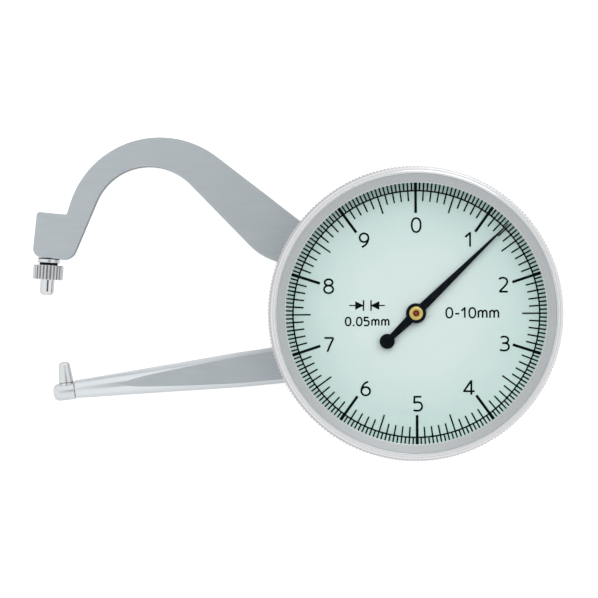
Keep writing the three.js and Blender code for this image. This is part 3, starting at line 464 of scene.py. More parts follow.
# The black of the lock ring, also put as painted shadow in the gap under the anvil's foot.
rubber_and_gap_shade = surface("lock_rubber_and_gap_shade", (10, 10, 11), 0.6, 0.0, grain=(8, 8, 8),
                 tone=0.2, spread=0.1, bump=0.3, depth=0.01, gloss=0.1)
gasket_white = surface("gasket_white", (224, 230, 228), 0.5, 0.0, grain=(4, 4, 4),
                       tone=0.03, bump=0.15, depth=0.01)
pointer_black = surface("pointer_black", (6, 8, 9), 0.42, 0.0, grain=(5, 5, 5),
                        tone=0.25, spread=0.08, bump=0.12, depth=0.006, gloss=0.08)
ink = surface("dial_ink", (3, 12, 11), 0.6, 0.0, grain=(9, 9, 9),
              tone=0.25, spread=0.08, bump=0.1, depth=0.003, gloss=0.03)


def radial_paint(name, stops, edge, mottle_scale, mottle_dark, rough, gloss=0.5):
    """Paint whose colour changes from the dial's axis to an edge, with a faint mottle; the change is
    painted light and shade.
    """
    spread, bump, depth = 0.07, 0.08, 0.004
    material, tree, shader = new_material(name)
    set_values(shader, {"Specular IOR Level": gloss})
    _, radius = rings_value(tree, 1)
    ramp = node(tree, "ShaderNodeValToRGB")
    elements = ramp.color_ramp.elements
    while len(elements) < len(stops):
        elements.new(0.5)
    for element, (position, color) in zip(elements, stops):
        element.position = position
        element.color = from_srgb(*color)
    tree.links.new(ranged(tree, radius, 0, 1, 0, edge * MM), ramp.inputs["Fac"])
    mottle = noise(tree, [mottle_scale] * 3, 2)
    mix = node(tree, "ShaderNodeMix", data_type="RGBA", blend_type="MULTIPLY")
    mix.inputs["Factor"].default_value = 1
    tree.links.new(ramp.outputs["Color"], mix.inputs["A"])
    tree.links.new(tinted(tree, mottle, mottle_dark, WHITE), mix.inputs["B"])
    tree.links.new(mix.outputs["Result"], shader.inputs["Base Color"])
    fine = noise(tree, (6, 6, 6), 2, place=(3, 1, 2))
    rough_out = ranged(tree, fine, rough - spread, rough + spread)
    tree.links.new(rough_out, shader.inputs["Roughness"])
    bumped(tree, shader, fine, bump, depth)
    return material


def crystal_material():
    """Clear acrylic that lets light through to the dial."""
    acrylic_ior, gloss = 1.49, 0.2
    smear_grain, smear_rough = (0.12, 0.2, 0.2), 0.03
    material, tree, shader = new_material("clear_crystal")
    set_values(shader, {
        "Base Color": from_srgb(254, 254, 254), "Transmission Weight": 1.0, "IOR": acrylic_ior,
        "Specular IOR Level": gloss,
    })
    smears = noise(tree, smear_grain, 2)
    tree.links.new(ranged(tree, smears, 0.0, smear_rough), shader.inputs["Roughness"])
    path = node(tree, "ShaderNodeLightPath")
    clear = node(tree, "ShaderNodeBsdfTransparent")
    mix = node(tree, "ShaderNodeMixShader")
    tree.links.new(path.outputs["Is Shadow Ray"], mix.inputs["Fac"])
    tree.links.new(shader.outputs["BSDF"], mix.inputs[1])
    tree.links.new(clear.outputs["BSDF"], mix.inputs[2])
    output = tree.nodes["Material Output"]
    tree.links.new(mix.outputs["Shader"], output.inputs["Surface"])
    return material


# The pale green, with painted shade that darkens it towards the rim under the bezel's lip.
dial_paint = radial_paint(
    "dial_paint",
    [(0.0, (218, 232, 229)), (0.45, (214, 230, 227)), (0.78, (203, 224, 220)), (1.0, (197, 222, 215))],
    edge=DIAL_RADIUS, mottle_scale=0.25, mottle_dark=(0.975, 0.985, 0.98, 1), rough=0.57)
# Red-brown, with a lighter pink centre that is a painted highlight.
lacquer_with_highlight = radial_paint(
    "thread_lacquer_highlight",
    [(0.0, (178, 88, 80)), (0.3, (146, 56, 40)), (0.6, (104, 40, 8)), (1.0, (84, 40, 6))],
    edge=0.5, mottle_scale=3, mottle_dark=(0.85, 0.8, 0.75, 1), rough=0.25, gloss=0.2)
crystal_clear = crystal_material()


def split_by_facing(obj, limit):
    """Gives the second material of the piece to the faces that don't look along Z."""
    for face in obj.data.polygons:
        face.material_index = 0 if abs(face.normal.z) > limit else 1


def finish(obj, body, materials, replaced=()):
    """Dresses a new piece, parents it to its body's empty and hides the CAD pieces that it replaces.
    """
    for material in materials:
        obj.data.materials.append(material)
    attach(obj, body)
    if replaced:
        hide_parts(*replaced)


# Case, back cover and the cover's screws

def make_case():
    """The case ring, with a groove for the snap ring, windows for the arms and screw bores."""
    groove = CASE_RADIUS - 0.5
    profile = rounded([
        (LEDGE_BORE, COVER_TOP, 0.1), (CASE_RADIUS, COVER_TOP, 0.25),
        (CASE_RADIUS, SNAP_BOTTOM, 0.05), (groove, SNAP_BOTTOM), (groove, SNAP_TOP),
        (CASE_RADIUS, SNAP_TOP, 0.05), (CASE_RADIUS, CASE_TOP, 0.25),
        (CASE_BORE, CASE_TOP, 0.15), (CASE_BORE, LEDGE_TOP), (LEDGE_BORE, LEDGE_TOP, 0.1),
    ])
    body = turned("case_ring", profile, 256, closed=True)
    fixed_arm_window = (139.604, 161.591, PLATE_TOP - 0.1, 7.05)
    moving_arm_window = (181.345, 215.808, 3.02, 7.33)
    past = 1
    tools = [
        prism("tool", ring_part(CASE_BORE - past, CASE_RADIUS + past, start, end), low, high)
        for start, end, low, high in (fixed_arm_window, moving_arm_window)
    ]
    bore_top = 3.5
    bores = ((COVER_SCREW_BORE, COVER_SCREW_ANGLES), (PLATE_SCREW_BORE, PLATE_SCREW_ANGLES))
    for radius, angles in bores:
        tools += [rod(radius, 0, bore_top, moved(DIAL_CENTRE, a, SCREW_CIRCLE)) for a in angles]
    combine(body, tools)
    finish(shade(body), "gauge_body", [case_chrome], ["case"])


def make_cover():
    chamfer = 0.4
    bore_levels = (-1, 2)
    pocket_bottom = -1
    profile = rounded([
        (0, 0), (COVER_RADIUS - chamfer, 0, 0.1), (COVER_RADIUS, chamfer, 0.1),
        (COVER_RADIUS, COVER_TOP, 0.05), (0, COVER_TOP),
    ], closed=False)
    body = turned("cover_disc", profile, 256)
    tools = []
    for angle in COVER_SCREW_ANGLES:
        place = moved(DIAL_CENTRE, angle, SCREW_CIRCLE)
        tools.append(rod(SCREW_POCKET, pocket_bottom, SCREW_SEAT, place))
        tools.append(rod(COVER_SCREW_BORE, *bore_levels, place))
    combine(body, tools)
    finish(shade(body), "gauge_body", [cover_chrome], ["back_cover"])


def slotted_screw(name, head, height, shank, length, place, turn):
    """A screw with the underside of its head at height 0, a rounded head and a slot across it."""
    edge = 0.16 * head
    chamfer = 0.12
    profile = rounded([
        (0, -length), (shank - chamfer, -length), (shank, chamfer - length), (shank, 0),
        (head, 0, 0.05), (head, height, edge), (0, height),
    ], closed=False)
    body = turned(name, profile, 64, place=place)
    half = head * 0.14
    depth = height * 0.5
    past = 1
    outline = [Matrix.Rotation(math.radians(turn), 2) @ c for c in box(head + past, half)]
    combine(body, [prism("tool", outline, height - depth, height + past, place=place)])
    return shade(body)


def make_cover_screws():
    for i, angle in enumerate(COVER_SCREW_ANGLES):
        spot = moved(DIAL_CENTRE, angle, SCREW_CIRCLE).to_3d() + UP * SCREW_SEAT
        place = Matrix.Translation(spot) @ Matrix.Rotation(math.pi, 4, "X")
        screw = slotted_screw(f"cover_screw_{i + 1}", head=1.5, height=0.75, shank=0.75,
                              length=1.4, place=place, turn=45 + 90 * i)
        finish(screw, "gauge_body", [polished], [f"back_cover_screw_{i + 1}"])


make_case()
make_cover()
make_cover_screws()

# The fixed arm, with the anvil in its foot

def make_fixed_arm():
    along = -6.0
    up = along + 90
    foot_left, foot_right, foot_neck = -2.635, 3.815, 2.245
    foot_height = 7.38
    root = CASE_BORE - 0.45

    def foot(right, height, radius):
        return (*moved(moved(FOOT_SEAT, along, right), up, height), radius)

    def inside(angle, out, radius):
        return (*moved(DIAL_CENTRE, angle, out), radius)

    outline = rounded([
        foot(foot_left, 0, 1.4), foot(foot_right, 0, 2.1), (-46.6, 31.2, 9.3), (-25.35, 9.43, 10),
        inside(159, root, 1.2), inside(169.6, 16.059, 2.189), inside(145.8, 11.363, 1.791),
        inside(121.9, 17.432, 1.99), inside(140.9, root, 1.2), (-23.7, 18.97, 3),
        (-49.75, 38.96, 15.35), foot(foot_neck, foot_height, 0.3),
        foot(foot_left, foot_height, 0.5),
    ])
    body = prism("upper_arm", outline, PLATE_TOP, ARM_TOP, bevel=0.1)
    screw_spots = [(-11.006, 11.8854), (-11.34889, 7.37006), (-15.59469, 6.39585)]
    screw_bore, screw_levels = 0.9, (3, 7)
    anvil_bore, anvil_levels = 1.1, (-5.65, 1)
    tools = [rod(screw_bore, *screw_levels, Vector(spot)) for spot in screw_spots]
    tools.append(rod(anvil_bore, *anvil_levels, place=frame_along(FOOT_SEAT, ANVIL_HEADING)))
    combine(body, tools)
    # The side faces take the darker edge finish, which is painted shade.
    split_by_facing(body, 0.5)
    finish(shade(body), "gauge_body", [plate_steel, shaded_edge_steel], ["fixed_arm"])


def make_anvil_bush():
    """The collar under the foot, its band next to the foot black as painted shadow of the gap there,
    and the black lock ring on it.
    """
    bore = 0.9
    seam_radius, seam_top = 1.73, 0.17
    collar_radius, collar_top = 1.78, 0.76
    ring_radius, ring_bottom, ring_top = 1.5, 0.77, 1.14
    place = frame_along(FOOT_SEAT, ANVIL_HEADING)
    collar = rounded([
        (bore, 0), (seam_radius, 0), (seam_radius, seam_top), (collar_radius, seam_top, 0.03),
        (collar_radius, collar_top, 0.1), (bore, collar_top),
    ])
    # Painted shadow: the band next to the foot takes the black, for the gap under the foot.
    zones = [1 if point.y < seam_top / 2 else 0 for point in collar]
    bush = turned("anvil_bush", collar, 96, closed=True, place=place, zones=lambda i, j: zones[i])
    finish(shade(bush), "gauge_body", [satin_chrome, rubber_and_gap_shade], ["anvil_collar"])
    ring = rounded([
        (bore, ring_bottom), (ring_radius, ring_bottom, 0.04), (ring_radius, ring_top, 0.04),
        (bore, ring_top),
    ])
    washer = turned("anvil_washer", ring, 96, closed=True, place=place)
    finish(shade(washer), "gauge_body", [rubber_and_gap_shade], ["anvil_lock_ring"])


def make_anvil_screw():
    """The knurled head with its round-ended stub, and the stem that the foot holds."""
    stem_radius, stem_end, stem_chamfer = 0.8, -5.2, 0.15
    head_radius, head_bottom, head_top, head_chamfer = 2.48, 1.16, 3.51, 0.16
    stub_radius, stub_top = 1.15, 6.05
    ridges, depth = 26, 0.28
    depth_shares = (0, 0.06, 0.3, 0.75, 1, 1, 0.75, 0.3, 0.06, 0)
    groove_sides = range(2, 7)
    knurled_from = 2.1
    profile = rounded([
        (0, stem_end), (stem_radius - stem_chamfer, stem_end),
        (stem_radius, stem_end + stem_chamfer), (stem_radius, head_bottom),
        (head_radius - head_chamfer, head_bottom, 0.04),
        (head_radius, head_bottom + head_chamfer, 0.06),
        (head_radius, head_top - head_chamfer, 0.06),
        (head_radius - head_chamfer, head_top, 0.04), (stub_radius, head_top, 0.06),
        (stub_radius, stub_top, 0.6), (0, stub_top),
    ], closed=False)

    def knurl(j, radius, height):
        return min(radius, head_radius - depth * depth_shares[j % len(depth_shares)]), height

    # Painted shade: the grooves of the knurl take the darker grey.
    def in_groove(i, j):
        on_head = min(profile[i].x, profile[i + 1].x) > knurled_from
        return 1 if on_head and j % len(depth_shares) in groove_sides else 0

    place = frame_along(FOOT_SEAT, ANVIL_HEADING)
    screw = turned("anvil_thimble", profile, ridges * len(depth_shares), place=place, shape=knurl,
                   zones=in_groove)
    finish(shade(screw, 35), "anvil", [polished, knurl_groove_shade_steel], ["anvil_screw"])


make_fixed_arm()
make_anvil_bush()
make_anvil_screw()

# The moving arm, with its contact

def make_moving_arm():
    """The tapered bar with its two flats, and inside the case its crank and the hub on its pivot."""
    length = 37.13823
    end_radius = 1.48
    taper_radius, taper_end = 2.88, 27.5
    root_radius, root_length = 3, 3.4
    profile = rounded([
        (0, 0), (end_radius, 0, 0.1), (taper_radius, taper_end),
        (root_radius, length - root_length), (root_radius, length, 0.1), (0, length),
    ], closed=False)
    place = frame_along(ARM_END, ARM_HEADING)
    bar = turned("lower_arm", profile, 160, place=place)
    half_flat = 1.88
    half_width = 9
    past = 5
    slab = prism("tool", box(half_width, half_flat), -past, length + past, place=place)
    combine(bar, [slab], "INTERSECT")
    socket_radius, socket_levels = 0.85, (-3.25, 1)
    holder_place = frame_along(HOLDER_END, ARM_HEADING + 180)
    combine(bar, [rod(socket_radius, *socket_levels, place=holder_place)])
    crank_radius, hub_radius, neck_radius = 2.3, 4.7, 2
    low, high = 3.8, 6.2
    # A hair keeps the faces of two tools from lying in one plane
    hair = 0.01
    crank = [
        prism("tool", strap(CRANK_START, crank_radius, CRANK_BEND, crank_radius), low, high),
        prism("tool", strap(CRANK_BEND, crank_radius, PIVOT, crank_radius + hair / 10),
              low - hair, high + hair),
        rod(hub_radius, HUB_BOTTOM, HUB_TOP, PIVOT, count=96),
        rod(neck_radius, HUB_BOTTOM + hair, HUB_TOP + 2, PIVOT),
    ]
    combine(bar, crank, "UNION")
    screw_spots = [Vector((0.66924, 17.18472)), Vector((-2.78511, 13.06799))]
    screw_bore, screw_levels = 0.475, (5.8, 8)
    pivot_bore, pivot_levels = 1.3, (2, 10)
    holes = [rod(screw_bore, *screw_levels, spot) for spot in screw_spots]
    combine(bar, [rod(pivot_bore, *pivot_levels, PIVOT), *holes])
    split_by_facing(bar, 0.999)
    finish(shade(bar, 12), "contact_arm", [plate_steel, bar_steel], ["moving_arm"])


def make_holder():
    """The cap across the arm's end, cut flat under the pin, with a low step that the pin is on."""
    plug_radius, plug_end = 0.6, -3
    seam_radius, seam_top = 1.4, 0.04
    cap_radius, cap_top = 1.45, 3.5
    step_radius, step_top, step_bottom = 1.16, 0.15, -0.8
    flat_radius, flat_top = 2.9, 1.6
    pin_bore, bore_levels = 0.7, (-1.3, 1)
    profile = rounded([
        (0, plug_end), (plug_radius, plug_end, 0.1), (plug_radius, 0), (seam_radius, 0),
        (seam_radius, seam_top), (cap_radius, 0.09, 0.03), (cap_radius, cap_top, 1.0), (0, cap_top),
    ], closed=False)
    place = frame_along(HOLDER_END, ARM_HEADING + 180)
    holder = turned("contact_cap", profile, 96, place=place)
    seat = frame_along(PIN_SEAT, ARM_HEADING + 90)
    combine(holder, [rod(flat_radius, step_top, flat_top, place=seat)])
    combine(holder, [rod(step_radius, step_bottom, step_top, place=seat, count=96)], "UNION")
    combine(holder, [rod(pin_bore, *bore_levels, place=seat)])
    finish(shade(holder), "contact_arm", [satin_chrome], ["contact_holder"])


def make_pin():
    """The tapered contact pin, with painted shade in the groove at its foot."""
    stem_radius, stem_end = 0.45, -1.2
    seam_radius, seam_bottom, seam_top = 1.14, 0.16, 0.24
    foot_radius, foot_level = 1.24, 0.26
    end_radius, end_level = 0.9, 3.65
    tip = rounded([
        (0, stem_end), (stem_radius, stem_end, 0.08), (stem_radius, seam_bottom),
        (seam_radius, seam_bottom), (seam_radius, seam_top), (foot_radius, foot_level, 0.02),
        (end_radius, end_level, 0.58), (0, end_level),
    ], closed=False)
    # Painted shade: the points in the groove at the foot take the dark grey.
    painted_groove_shade = [0 < point.y < (seam_top + foot_level) / 2 for point in tip]
    seat = frame_along(PIN_SEAT, ARM_HEADING + 90)
    pin = turned("contact_tip", tip, 96, place=seat, zones=lambda i, j: int(painted_groove_shade[i]))
    finish(shade(pin), "contact_arm", [satin_chrome, groove_shade_steel], ["contact_pin"])


make_moving_arm()
make_holder()
make_pin()

# The bezel and what turns with it

def make_bezel():
    """The knurled band, bead, sloping ring and lip, with grooves for the rings inside."""
    chamfer = 0.3
    ridges, depth, slope = 250, 0.2, 0.9
    depth_shares = (0, 0.12, 1, 0.88)

    def knurl(j, radius, height):
        groove = BEZEL_RADIUS - depth * depth_shares[j % len(depth_shares)]
        if radius <= groove:
            return radius, height
        slide = radius - groove
        middle = (BEZEL_BOTTOM + KNURL_TOP) / 2
        return groove, height + (slide if height > middle else -slide) * slope

    outer = [
        (BEZEL_BORE, BEZEL_BOTTOM, 0.08), (BEZEL_RADIUS - chamfer, BEZEL_BOTTOM),
        (BEZEL_RADIUS, BEZEL_BOTTOM + chamfer), (BEZEL_RADIUS, KNURL_TOP - 0.28),
        (BEAD_RADIUS, KNURL_TOP, 0.05),
    ]
    bead = [
        (BEAD_RADIUS, BEZEL_TOP - 0.32, 0.12), (RIDGE_RADIUS + 0.16, BEZEL_TOP - 0.14, 0.03),
        *arc(Vector((RIDGE_RADIUS, BEZEL_TOP - 0.18)), 0.18, 10, 170),
        (CONE_RADIUS - 0.06, BEZEL_TOP - 0.36, 0.05),
    ]
    lip = [(LIP_RADIUS, LIP_TOP, 0.17), (LIP_RADIUS, LIP_BOTTOM, 0.03)]
    inner = [
        (BEZEL_BORE, LIP_BOTTOM), (BEZEL_BORE, DIAL_BOTTOM),
        (BEZEL_GROOVE, DIAL_BOTTOM), (BEZEL_GROOVE, RETAINER_BOTTOM),
        (BEZEL_BORE, RETAINER_BOTTOM), (BEZEL_BORE, SNAP_TOP),
        (BEZEL_GROOVE, SNAP_TOP), (BEZEL_GROOVE, SNAP_BOTTOM), (BEZEL_BORE, SNAP_BOTTOM),
    ]
    profile = rounded(outer + bead + lip + inner)
    zones = []
    for i, point in enumerate(profile):
        middle = (point + profile[(i + 1) % len(profile)]) / 2
        on_top = middle.y > KNURL_TOP + 0.02 or (middle.x < BEZEL_BORE and middle.y > LIP_BOTTOM)
        on_cone = on_top and LIP_RADIUS + 0.15 < middle.x < CONE_RADIUS - 0.05
        zones.append(2 if on_cone else 1 if on_top else 0)
    body = turned("bezel_ring", profile, ridges * len(depth_shares), closed=True, shape=knurl,
                  zones=lambda i, j: zones[i])
    finish(shade(body, 28), "turning_bezel",
           [knurled_chrome, bead_chrome, cone_chrome], ["bezel"])


def make_crystal():
    gap = 0.01
    profile = rounded([
        (0, CRYSTAL_BOTTOM + gap), (DIAL_RADIUS, CRYSTAL_BOTTOM + gap, 0.08),
        (DIAL_RADIUS, LIP_BOTTOM - gap, 0.08), (0, LIP_BOTTOM - gap),
    ], closed=False)
    body = turned("crystal_disc", profile, 192)
    finish(shade(body), "turning_bezel", [crystal_clear], ["crystal"])
    ring = rounded([
        (GASKET_BORE, DIAL_TOP, 0.08), (DIAL_RADIUS, DIAL_TOP), (DIAL_RADIUS, CRYSTAL_BOTTOM),
        (GASKET_BORE, CRYSTAL_BOTTOM, 0.08),
    ])
    gasket = turned("gasket_ring", ring, 192, closed=True)
    finish(shade(gasket), "turning_bezel", [gasket_white], ["crystal_gasket"])


def make_dial():
    bore = 1
    profile = rounded([
        (bore, DIAL_BOTTOM), (DIAL_RADIUS, DIAL_BOTTOM), (DIAL_RADIUS, DIAL_TOP),
        (bore, DIAL_TOP, 0.04),
    ])
    plate = turned("dial_disc", profile, 192, closed=True)
    finish(shade(plate), "turning_bezel", [dial_paint], ["dial_plate"])


make_bezel()
make_crystal()
make_dial()

# The print on the dial: ribbons of ink, a hair thick, that lie on the paint

INK_BOTTOM = DIAL_TOP - 0.01
INK_TOP = DIAL_TOP + 0.02
DIAL_TURN = 0.4
PRINT_CENTRE = Vector((0.08, -0.12))


class Print:
    """Collects flat shapes of ink into one mesh."""

    def __init__(self):
        self.verts = []
        self.faces = []

    def shape(self, points):
        """A filled outline, counter-clockwise and convex."""
        count = len(points)
        base = len(self.verts)
        for height in (INK_BOTTOM, INK_TOP):
            self.verts += [(p.x, p.y, height) for p in points]
        self.faces.append([base + i for i in range(count)][::-1])
        self.faces.append([base + count + i for i in range(count)])
        for i in range(count):
            k = (i + 1) % count
            self.faces.append([base + i, base + k, base + count + k, base + count + i])

    def line(self, points, width, closed=False):
        """A ribbon along points."""
        count = len(points)
        base = len(self.verts)
        half = width / 2
        for i, here in enumerate(points):
            before = points[i - 1] if closed or i else here
            after = points[(i + 1) % count] if closed or i < count - 1 else here
            a = (here - before).normalized() if before != here else (after - here).normalized()
            b = (after - here).normalized() if after != here else a
            normal = Vector((-a.y - b.y, a.x + b.x))
            normal.normalize()
            reach = half / max(0.5, normal.dot(Vector((-a.y, a.x))))
            left, right = here + normal * reach, here - normal * reach
            self.verts += [(left.x, left.y, INK_BOTTOM), (right.x, right.y, INK_BOTTOM),
                           (right.x, right.y, INK_TOP), (left.x, left.y, INK_TOP)]
        spans = count if closed else count - 1
        for i in range(spans):
            low, high = base + 4 * i, base + 4 * ((i + 1) % count)
            for j in range(4):
                k = (j + 1) % 4
                self.faces.append([low + j, low + k, high + k, high + j])
        if not closed:
            last = base + 4 * (count - 1)
            self.faces += [[base + j for j in range(4)][::-1], [last + j for j in range(4)]]

    def piece(self, name):
        obj = make_object(name, self.verts, self.faces)
        finish(shade(obj), "turning_bezel", [ink])


def oval(x, y, rx, ry, start=0, end=360, count=28, power=2.0):
    """Points on an oval, a little squarer than an ellipse where the power is above 2."""
    points = []
    for i in range(count + 1):
        c, s = heading(start + (end - start) * i / count)
        points.append(Vector((
            x + rx * math.copysign(abs(c) ** (2 / power), c),
            y + ry * math.copysign(abs(s) ** (2 / power), s),
        )))
    return points


def curve(*points, steps=7):
    """A smooth line through points."""
    spots = [Vector(p) for p in points]
    ends = [spots[0] * 2 - spots[1], *spots, spots[-1] * 2 - spots[-2]]
    out = []
    for a, b, c, d in zip(ends, ends[1:], ends[2:], ends[3:]):
        for i in range(steps):
            t = i / steps
            out.append(0.5 * (2 * b + (c - a) * t + (2 * a - 5 * b + 4 * c - d) * t ** 2
                              + (3 * b - a - 3 * c + d) * t ** 3))
    return [*out, spots[-1]]


def lines(*points):
    return [Vector(p) for p in points]


# Strokes of each figure, in a box of height 1: its width, then the strokes
GLYPHS = {
    "0": (0.64, [oval(0.32, 0.5, 0.32, 0.5, power=2.25)]),
    "1": (0.36, [lines((0, 0.69), (0.33, 0.985), (0.35, 0.985), (0.35, 0))]),
    "2": (0.64, [curve((0, 0.9), (0.14, 0.98), (0.3, 1), (0.5, 0.93), (0.59, 0.76), (0.55, 0.58),
                       (0.38, 0.36), (0.2, 0.18), (0.03, 0)),
                 lines((0.02, 0.0), (0.64, 0.0))]),
    "3": (0.66, [curve((0.06, 0.93), (0.18, 0.985), (0.32, 1), (0.52, 0.94), (0.6, 0.78),
                       (0.54, 0.61), (0.4, 0.54), (0.32, 0.53)),
                 lines((0.16, 0.53), (0.36, 0.53)),
                 curve((0.36, 0.53), (0.54, 0.48), (0.65, 0.32), (0.62, 0.14), (0.48, 0.02),
                       (0.32, 0), (0.14, 0.01), (0, 0.06))]),
    "4": (0.77, [lines((0.53, 0), (0.53, 0.98), (0.5, 0.98), (0.01, 0.27), (0.01, 0.255),
                       (0.77, 0.255))]),
    "5": (0.62, [lines((0.56, 1), (0.06, 1), (0.04, 0.54)),
                 curve((0.04, 0.55), (0.17, 0.6), (0.32, 0.61), (0.52, 0.54), (0.61, 0.32),
                       (0.55, 0.12), (0.4, 0.01), (0.24, 0), (0.1, 0.01), (0, 0.05))]),
    "6": (0.66, [oval(0.34, 0.3, 0.315, 0.3),
                 curve((0.52, 0.985), (0.38, 0.93), (0.21, 0.8), (0.08, 0.58), (0.025, 0.36),
                       (0.03, 0.27))]),
    "7": (0.67, [lines((0, 1), (0.66, 1)),
                 curve((0.66, 0.99), (0.52, 0.7), (0.38, 0.4), (0.22, 0))]),
    "8": (0.68, [oval(0.34, 0.775, 0.285, 0.225), oval(0.34, 0.275, 0.33, 0.275)]),
    "9": (0.66, [oval(0.32, 0.69, 0.315, 0.31),
                 curve((0.635, 0.72), (0.625, 0.55), (0.54, 0.32), (0.38, 0.13), (0.16, 0.01))]),
    "-": (0.42, [lines((0, 0.41), (0.42, 0.41))]),
    ".": (0.1, [lines((0.05, -0.08), (0.05, 0.12))]),
    "m": (0.85, [lines((0, 0), (0, 0.72)),
                 curve((0, 0.5), (0.07, 0.65), (0.22, 0.73), (0.37, 0.67), (0.425, 0.48),
                       (0.425, 0.25), (0.425, 0)),
                 curve((0.425, 0.5), (0.495, 0.65), (0.64, 0.73), (0.79, 0.67), (0.85, 0.48),
                       (0.85, 0.25), (0.85, 0))]),
}


def write(ink_print, glyph, centre, height, width):
    """One figure about a centre, with its height between the middles of its strokes."""
    across, strokes = GLYPHS[glyph]
    corner = centre - Vector((across / 2, 0.5)) * height
    for stroke in strokes:
        ink_print.line([corner + p * height for p in stroke], width)


def make_scale():
    """A ring with a tick outside it for each division, and inside it for every second one."""
    divisions = 200
    figure_step, half_step, inner_step = 20, 10, 2
    ring_radius, ring_width = 19.94, 0.25
    middle, outer_end = 19.9, 21.6
    bold_end, half_end, fine_end = 16.34, 17.08, 18.26
    bold_outer, bold_inner, fine = 0.52, 0.44, 0.255
    scale = Print()
    scale.line(circle(PRINT_CENTRE, ring_radius, 240), ring_width, closed=True)
    for i in range(divisions):
        angle = 90 + DIAL_TURN - 360 / divisions * i
        bold = i % figure_step == 0
        outer = [moved(PRINT_CENTRE, angle, r) for r in (outer_end, middle)]
        scale.line(outer, bold_outer if bold else fine)
        if i % inner_step:
            continue
        end = bold_end if bold else half_end if i % half_step == 0 else fine_end
        inner = [moved(PRINT_CENTRE, angle, r) for r in (middle, end)]
        scale.line(inner, bold_inner if bold else fine)
    scale.piece("dial_scale")


def make_figures():
    height, width = 2.25, 0.31
    figures = Print()
    centres = [(0.05, 14.26), (8.38, 11.89), (14.16, 4.62), (14.32, -4.89), (8.64, -12.05),
               (0.33, -14.62), (-8.13, -12.15), (-14.04, -5.11), (-14.1, 4.37), (-8.36, 11.79)]
    for i, spot in enumerate(centres):
        write(figures, str(i), Vector(spot), height, width)
    figures.piece("dial_figures")


# Each text with the places of its letters, their level, height and line width
TEXTS = (
    ("0-10mm", (5.41, 6.69, 7.64, 9.13, 10.79, 12.66), 0.08, 1.6, 0.275),
    ("0.05mm", (-10.95, -10.06, -9.15, -7.97, -6.54, -4.94), -1.33, 1.31, 0.26),
)


def make_words():
    """The two texts, and the sign for a width: two arrows that point at two bars."""
    words = Print()
    for text, places, level, height, width in TEXTS:
        for glyph, x in zip(text, places):
            write(words, glyph, Vector((x, level)), height, width)
    sign_level = 1.26
    half_bar, bar_width = 0.86, 0.23
    tail_width = 0.2
    head_length, half_head, overlap = 1.34, 0.7, 0.08
    for bar, tail, side in ((-8.47, -10.77, 1), (-7.25, -5.0, -1)):
        words.line(lines((bar, sign_level - half_bar), (bar, sign_level + half_bar)), bar_width)
        base = bar - side * head_length
        words.line(lines((tail, sign_level), (base, sign_level)), tail_width)
        head = lines((base, sign_level + half_head), (base, sign_level - half_head),
                     (bar + side * overlap, sign_level))
        words.shape(head if side > 0 else head[::-1])
    words.piece("dial_words")


make_scale()
make_figures()
make_words()

# The pointer on its boss

def make_pointer():
    """The hand in one piece: a tapered blade, a tail with a ball, and the hub disc they are on."""
    tip = moved(DIAL_CENTRE, POINTER_HEADING, 20.7)
    ball = moved(DIAL_CENTRE, POINTER_HEADING + 180, 6.5)
    blade_root, blade_tip = 0.74, 0.08
    tail_root, tail_end = 0.79, 0.44
    ball_radius, disc_radius, bore = 1.22, 1.63, 1.14
    bore_levels = (11, 14)
    edge, disc_edge = 0.03, 0.12
    hair = 0.002
    blade = strap(DIAL_CENTRE, blade_root, tip, blade_tip)
    tail = strap(DIAL_CENTRE, tail_root, ball, tail_end)
    disc = circle(DIAL_CENTRE, disc_radius, 96)
    hand = prism("pointer_hand", blade, BLADE_BOTTOM, BLADE_TOP, edge)
    parts = [
        prism("tool", tail, BLADE_BOTTOM, BLADE_TOP - hair, edge),
        prism("tool", circle(ball, ball_radius, 72), BLADE_BOTTOM - hair, BLADE_TOP + hair, edge),
        prism("tool", disc, POINTER_BOTTOM, HUB_DISC_TOP, disc_edge, steps=3),
    ]
    combine(hand, parts, "UNION")
    combine(hand, [rod(bore, *bore_levels)])
    finish(shade(hand), "pointer_shaft", [pointer_black], ["pointer"])


def make_boss():
    """The brass boss in the hub, and the drop of red thread lock on the arbor's end, with a painted
    highlight.
    """
    bore, mouth, radius = 0.51, 0.54, 1.09
    profile = rounded([
        (bore, POINTER_BOTTOM), (radius, POINTER_BOTTOM), (radius, BOSS_TOP, 0.16),
        (mouth, BOSS_TOP, 0.02), (bore, BOSS_TOP - 0.05),
    ])
    boss = turned("pointer_bush", profile, 96, closed=True)
    finish(shade(boss), "pointer_shaft", [bright_brass], ["pointer_boss"])
    drop = [(0, ARBOR_TOP - 0.02), (0.505, ARBOR_TOP - 0.02), (0.49, ARBOR_TOP + 0.05),
            (0.36, ARBOR_TOP + 0.13), (0.18, ARBOR_TOP + 0.165), (0, ARBOR_TOP + 0.175)]
    cap = turned("arbor_lacquer", drop, 64)
    finish(shade(cap, 60), "pointer_shaft", [lacquer_with_highlight])


make_pointer()
make_boss()

# The CAD's own pieces that stay: the works inside the case

FINISHES = (
    (plate_brass, ("main_plate", "bridge_plate", "pillar", "sector_gear", "intermediate_wheel")),
    (bright_brass, ("centre_lower_bush", "centre_upper_bush", "intermediate_lower_bush",
                    "intermediate_upper_bush", "hairspring_stud", "hairspring_collet")),
    (spring, ("hairspring", "return_spring", "bezel_snap_ring", "dial_retaining_ring")),
    (polished, ("main_plate_screw", "bridge_screw", "fixed_arm_screw", "sector_screw")),
    (ground, ("lever_pivot_pin", "intermediate_arbor", "intermediate_pinion", "centre_pinion",
              "centre_arbor", "open_stop_pin", "return_spring_post")),
)
NODE_FINISH = {name: material for material, names in FINISHES for name in names}


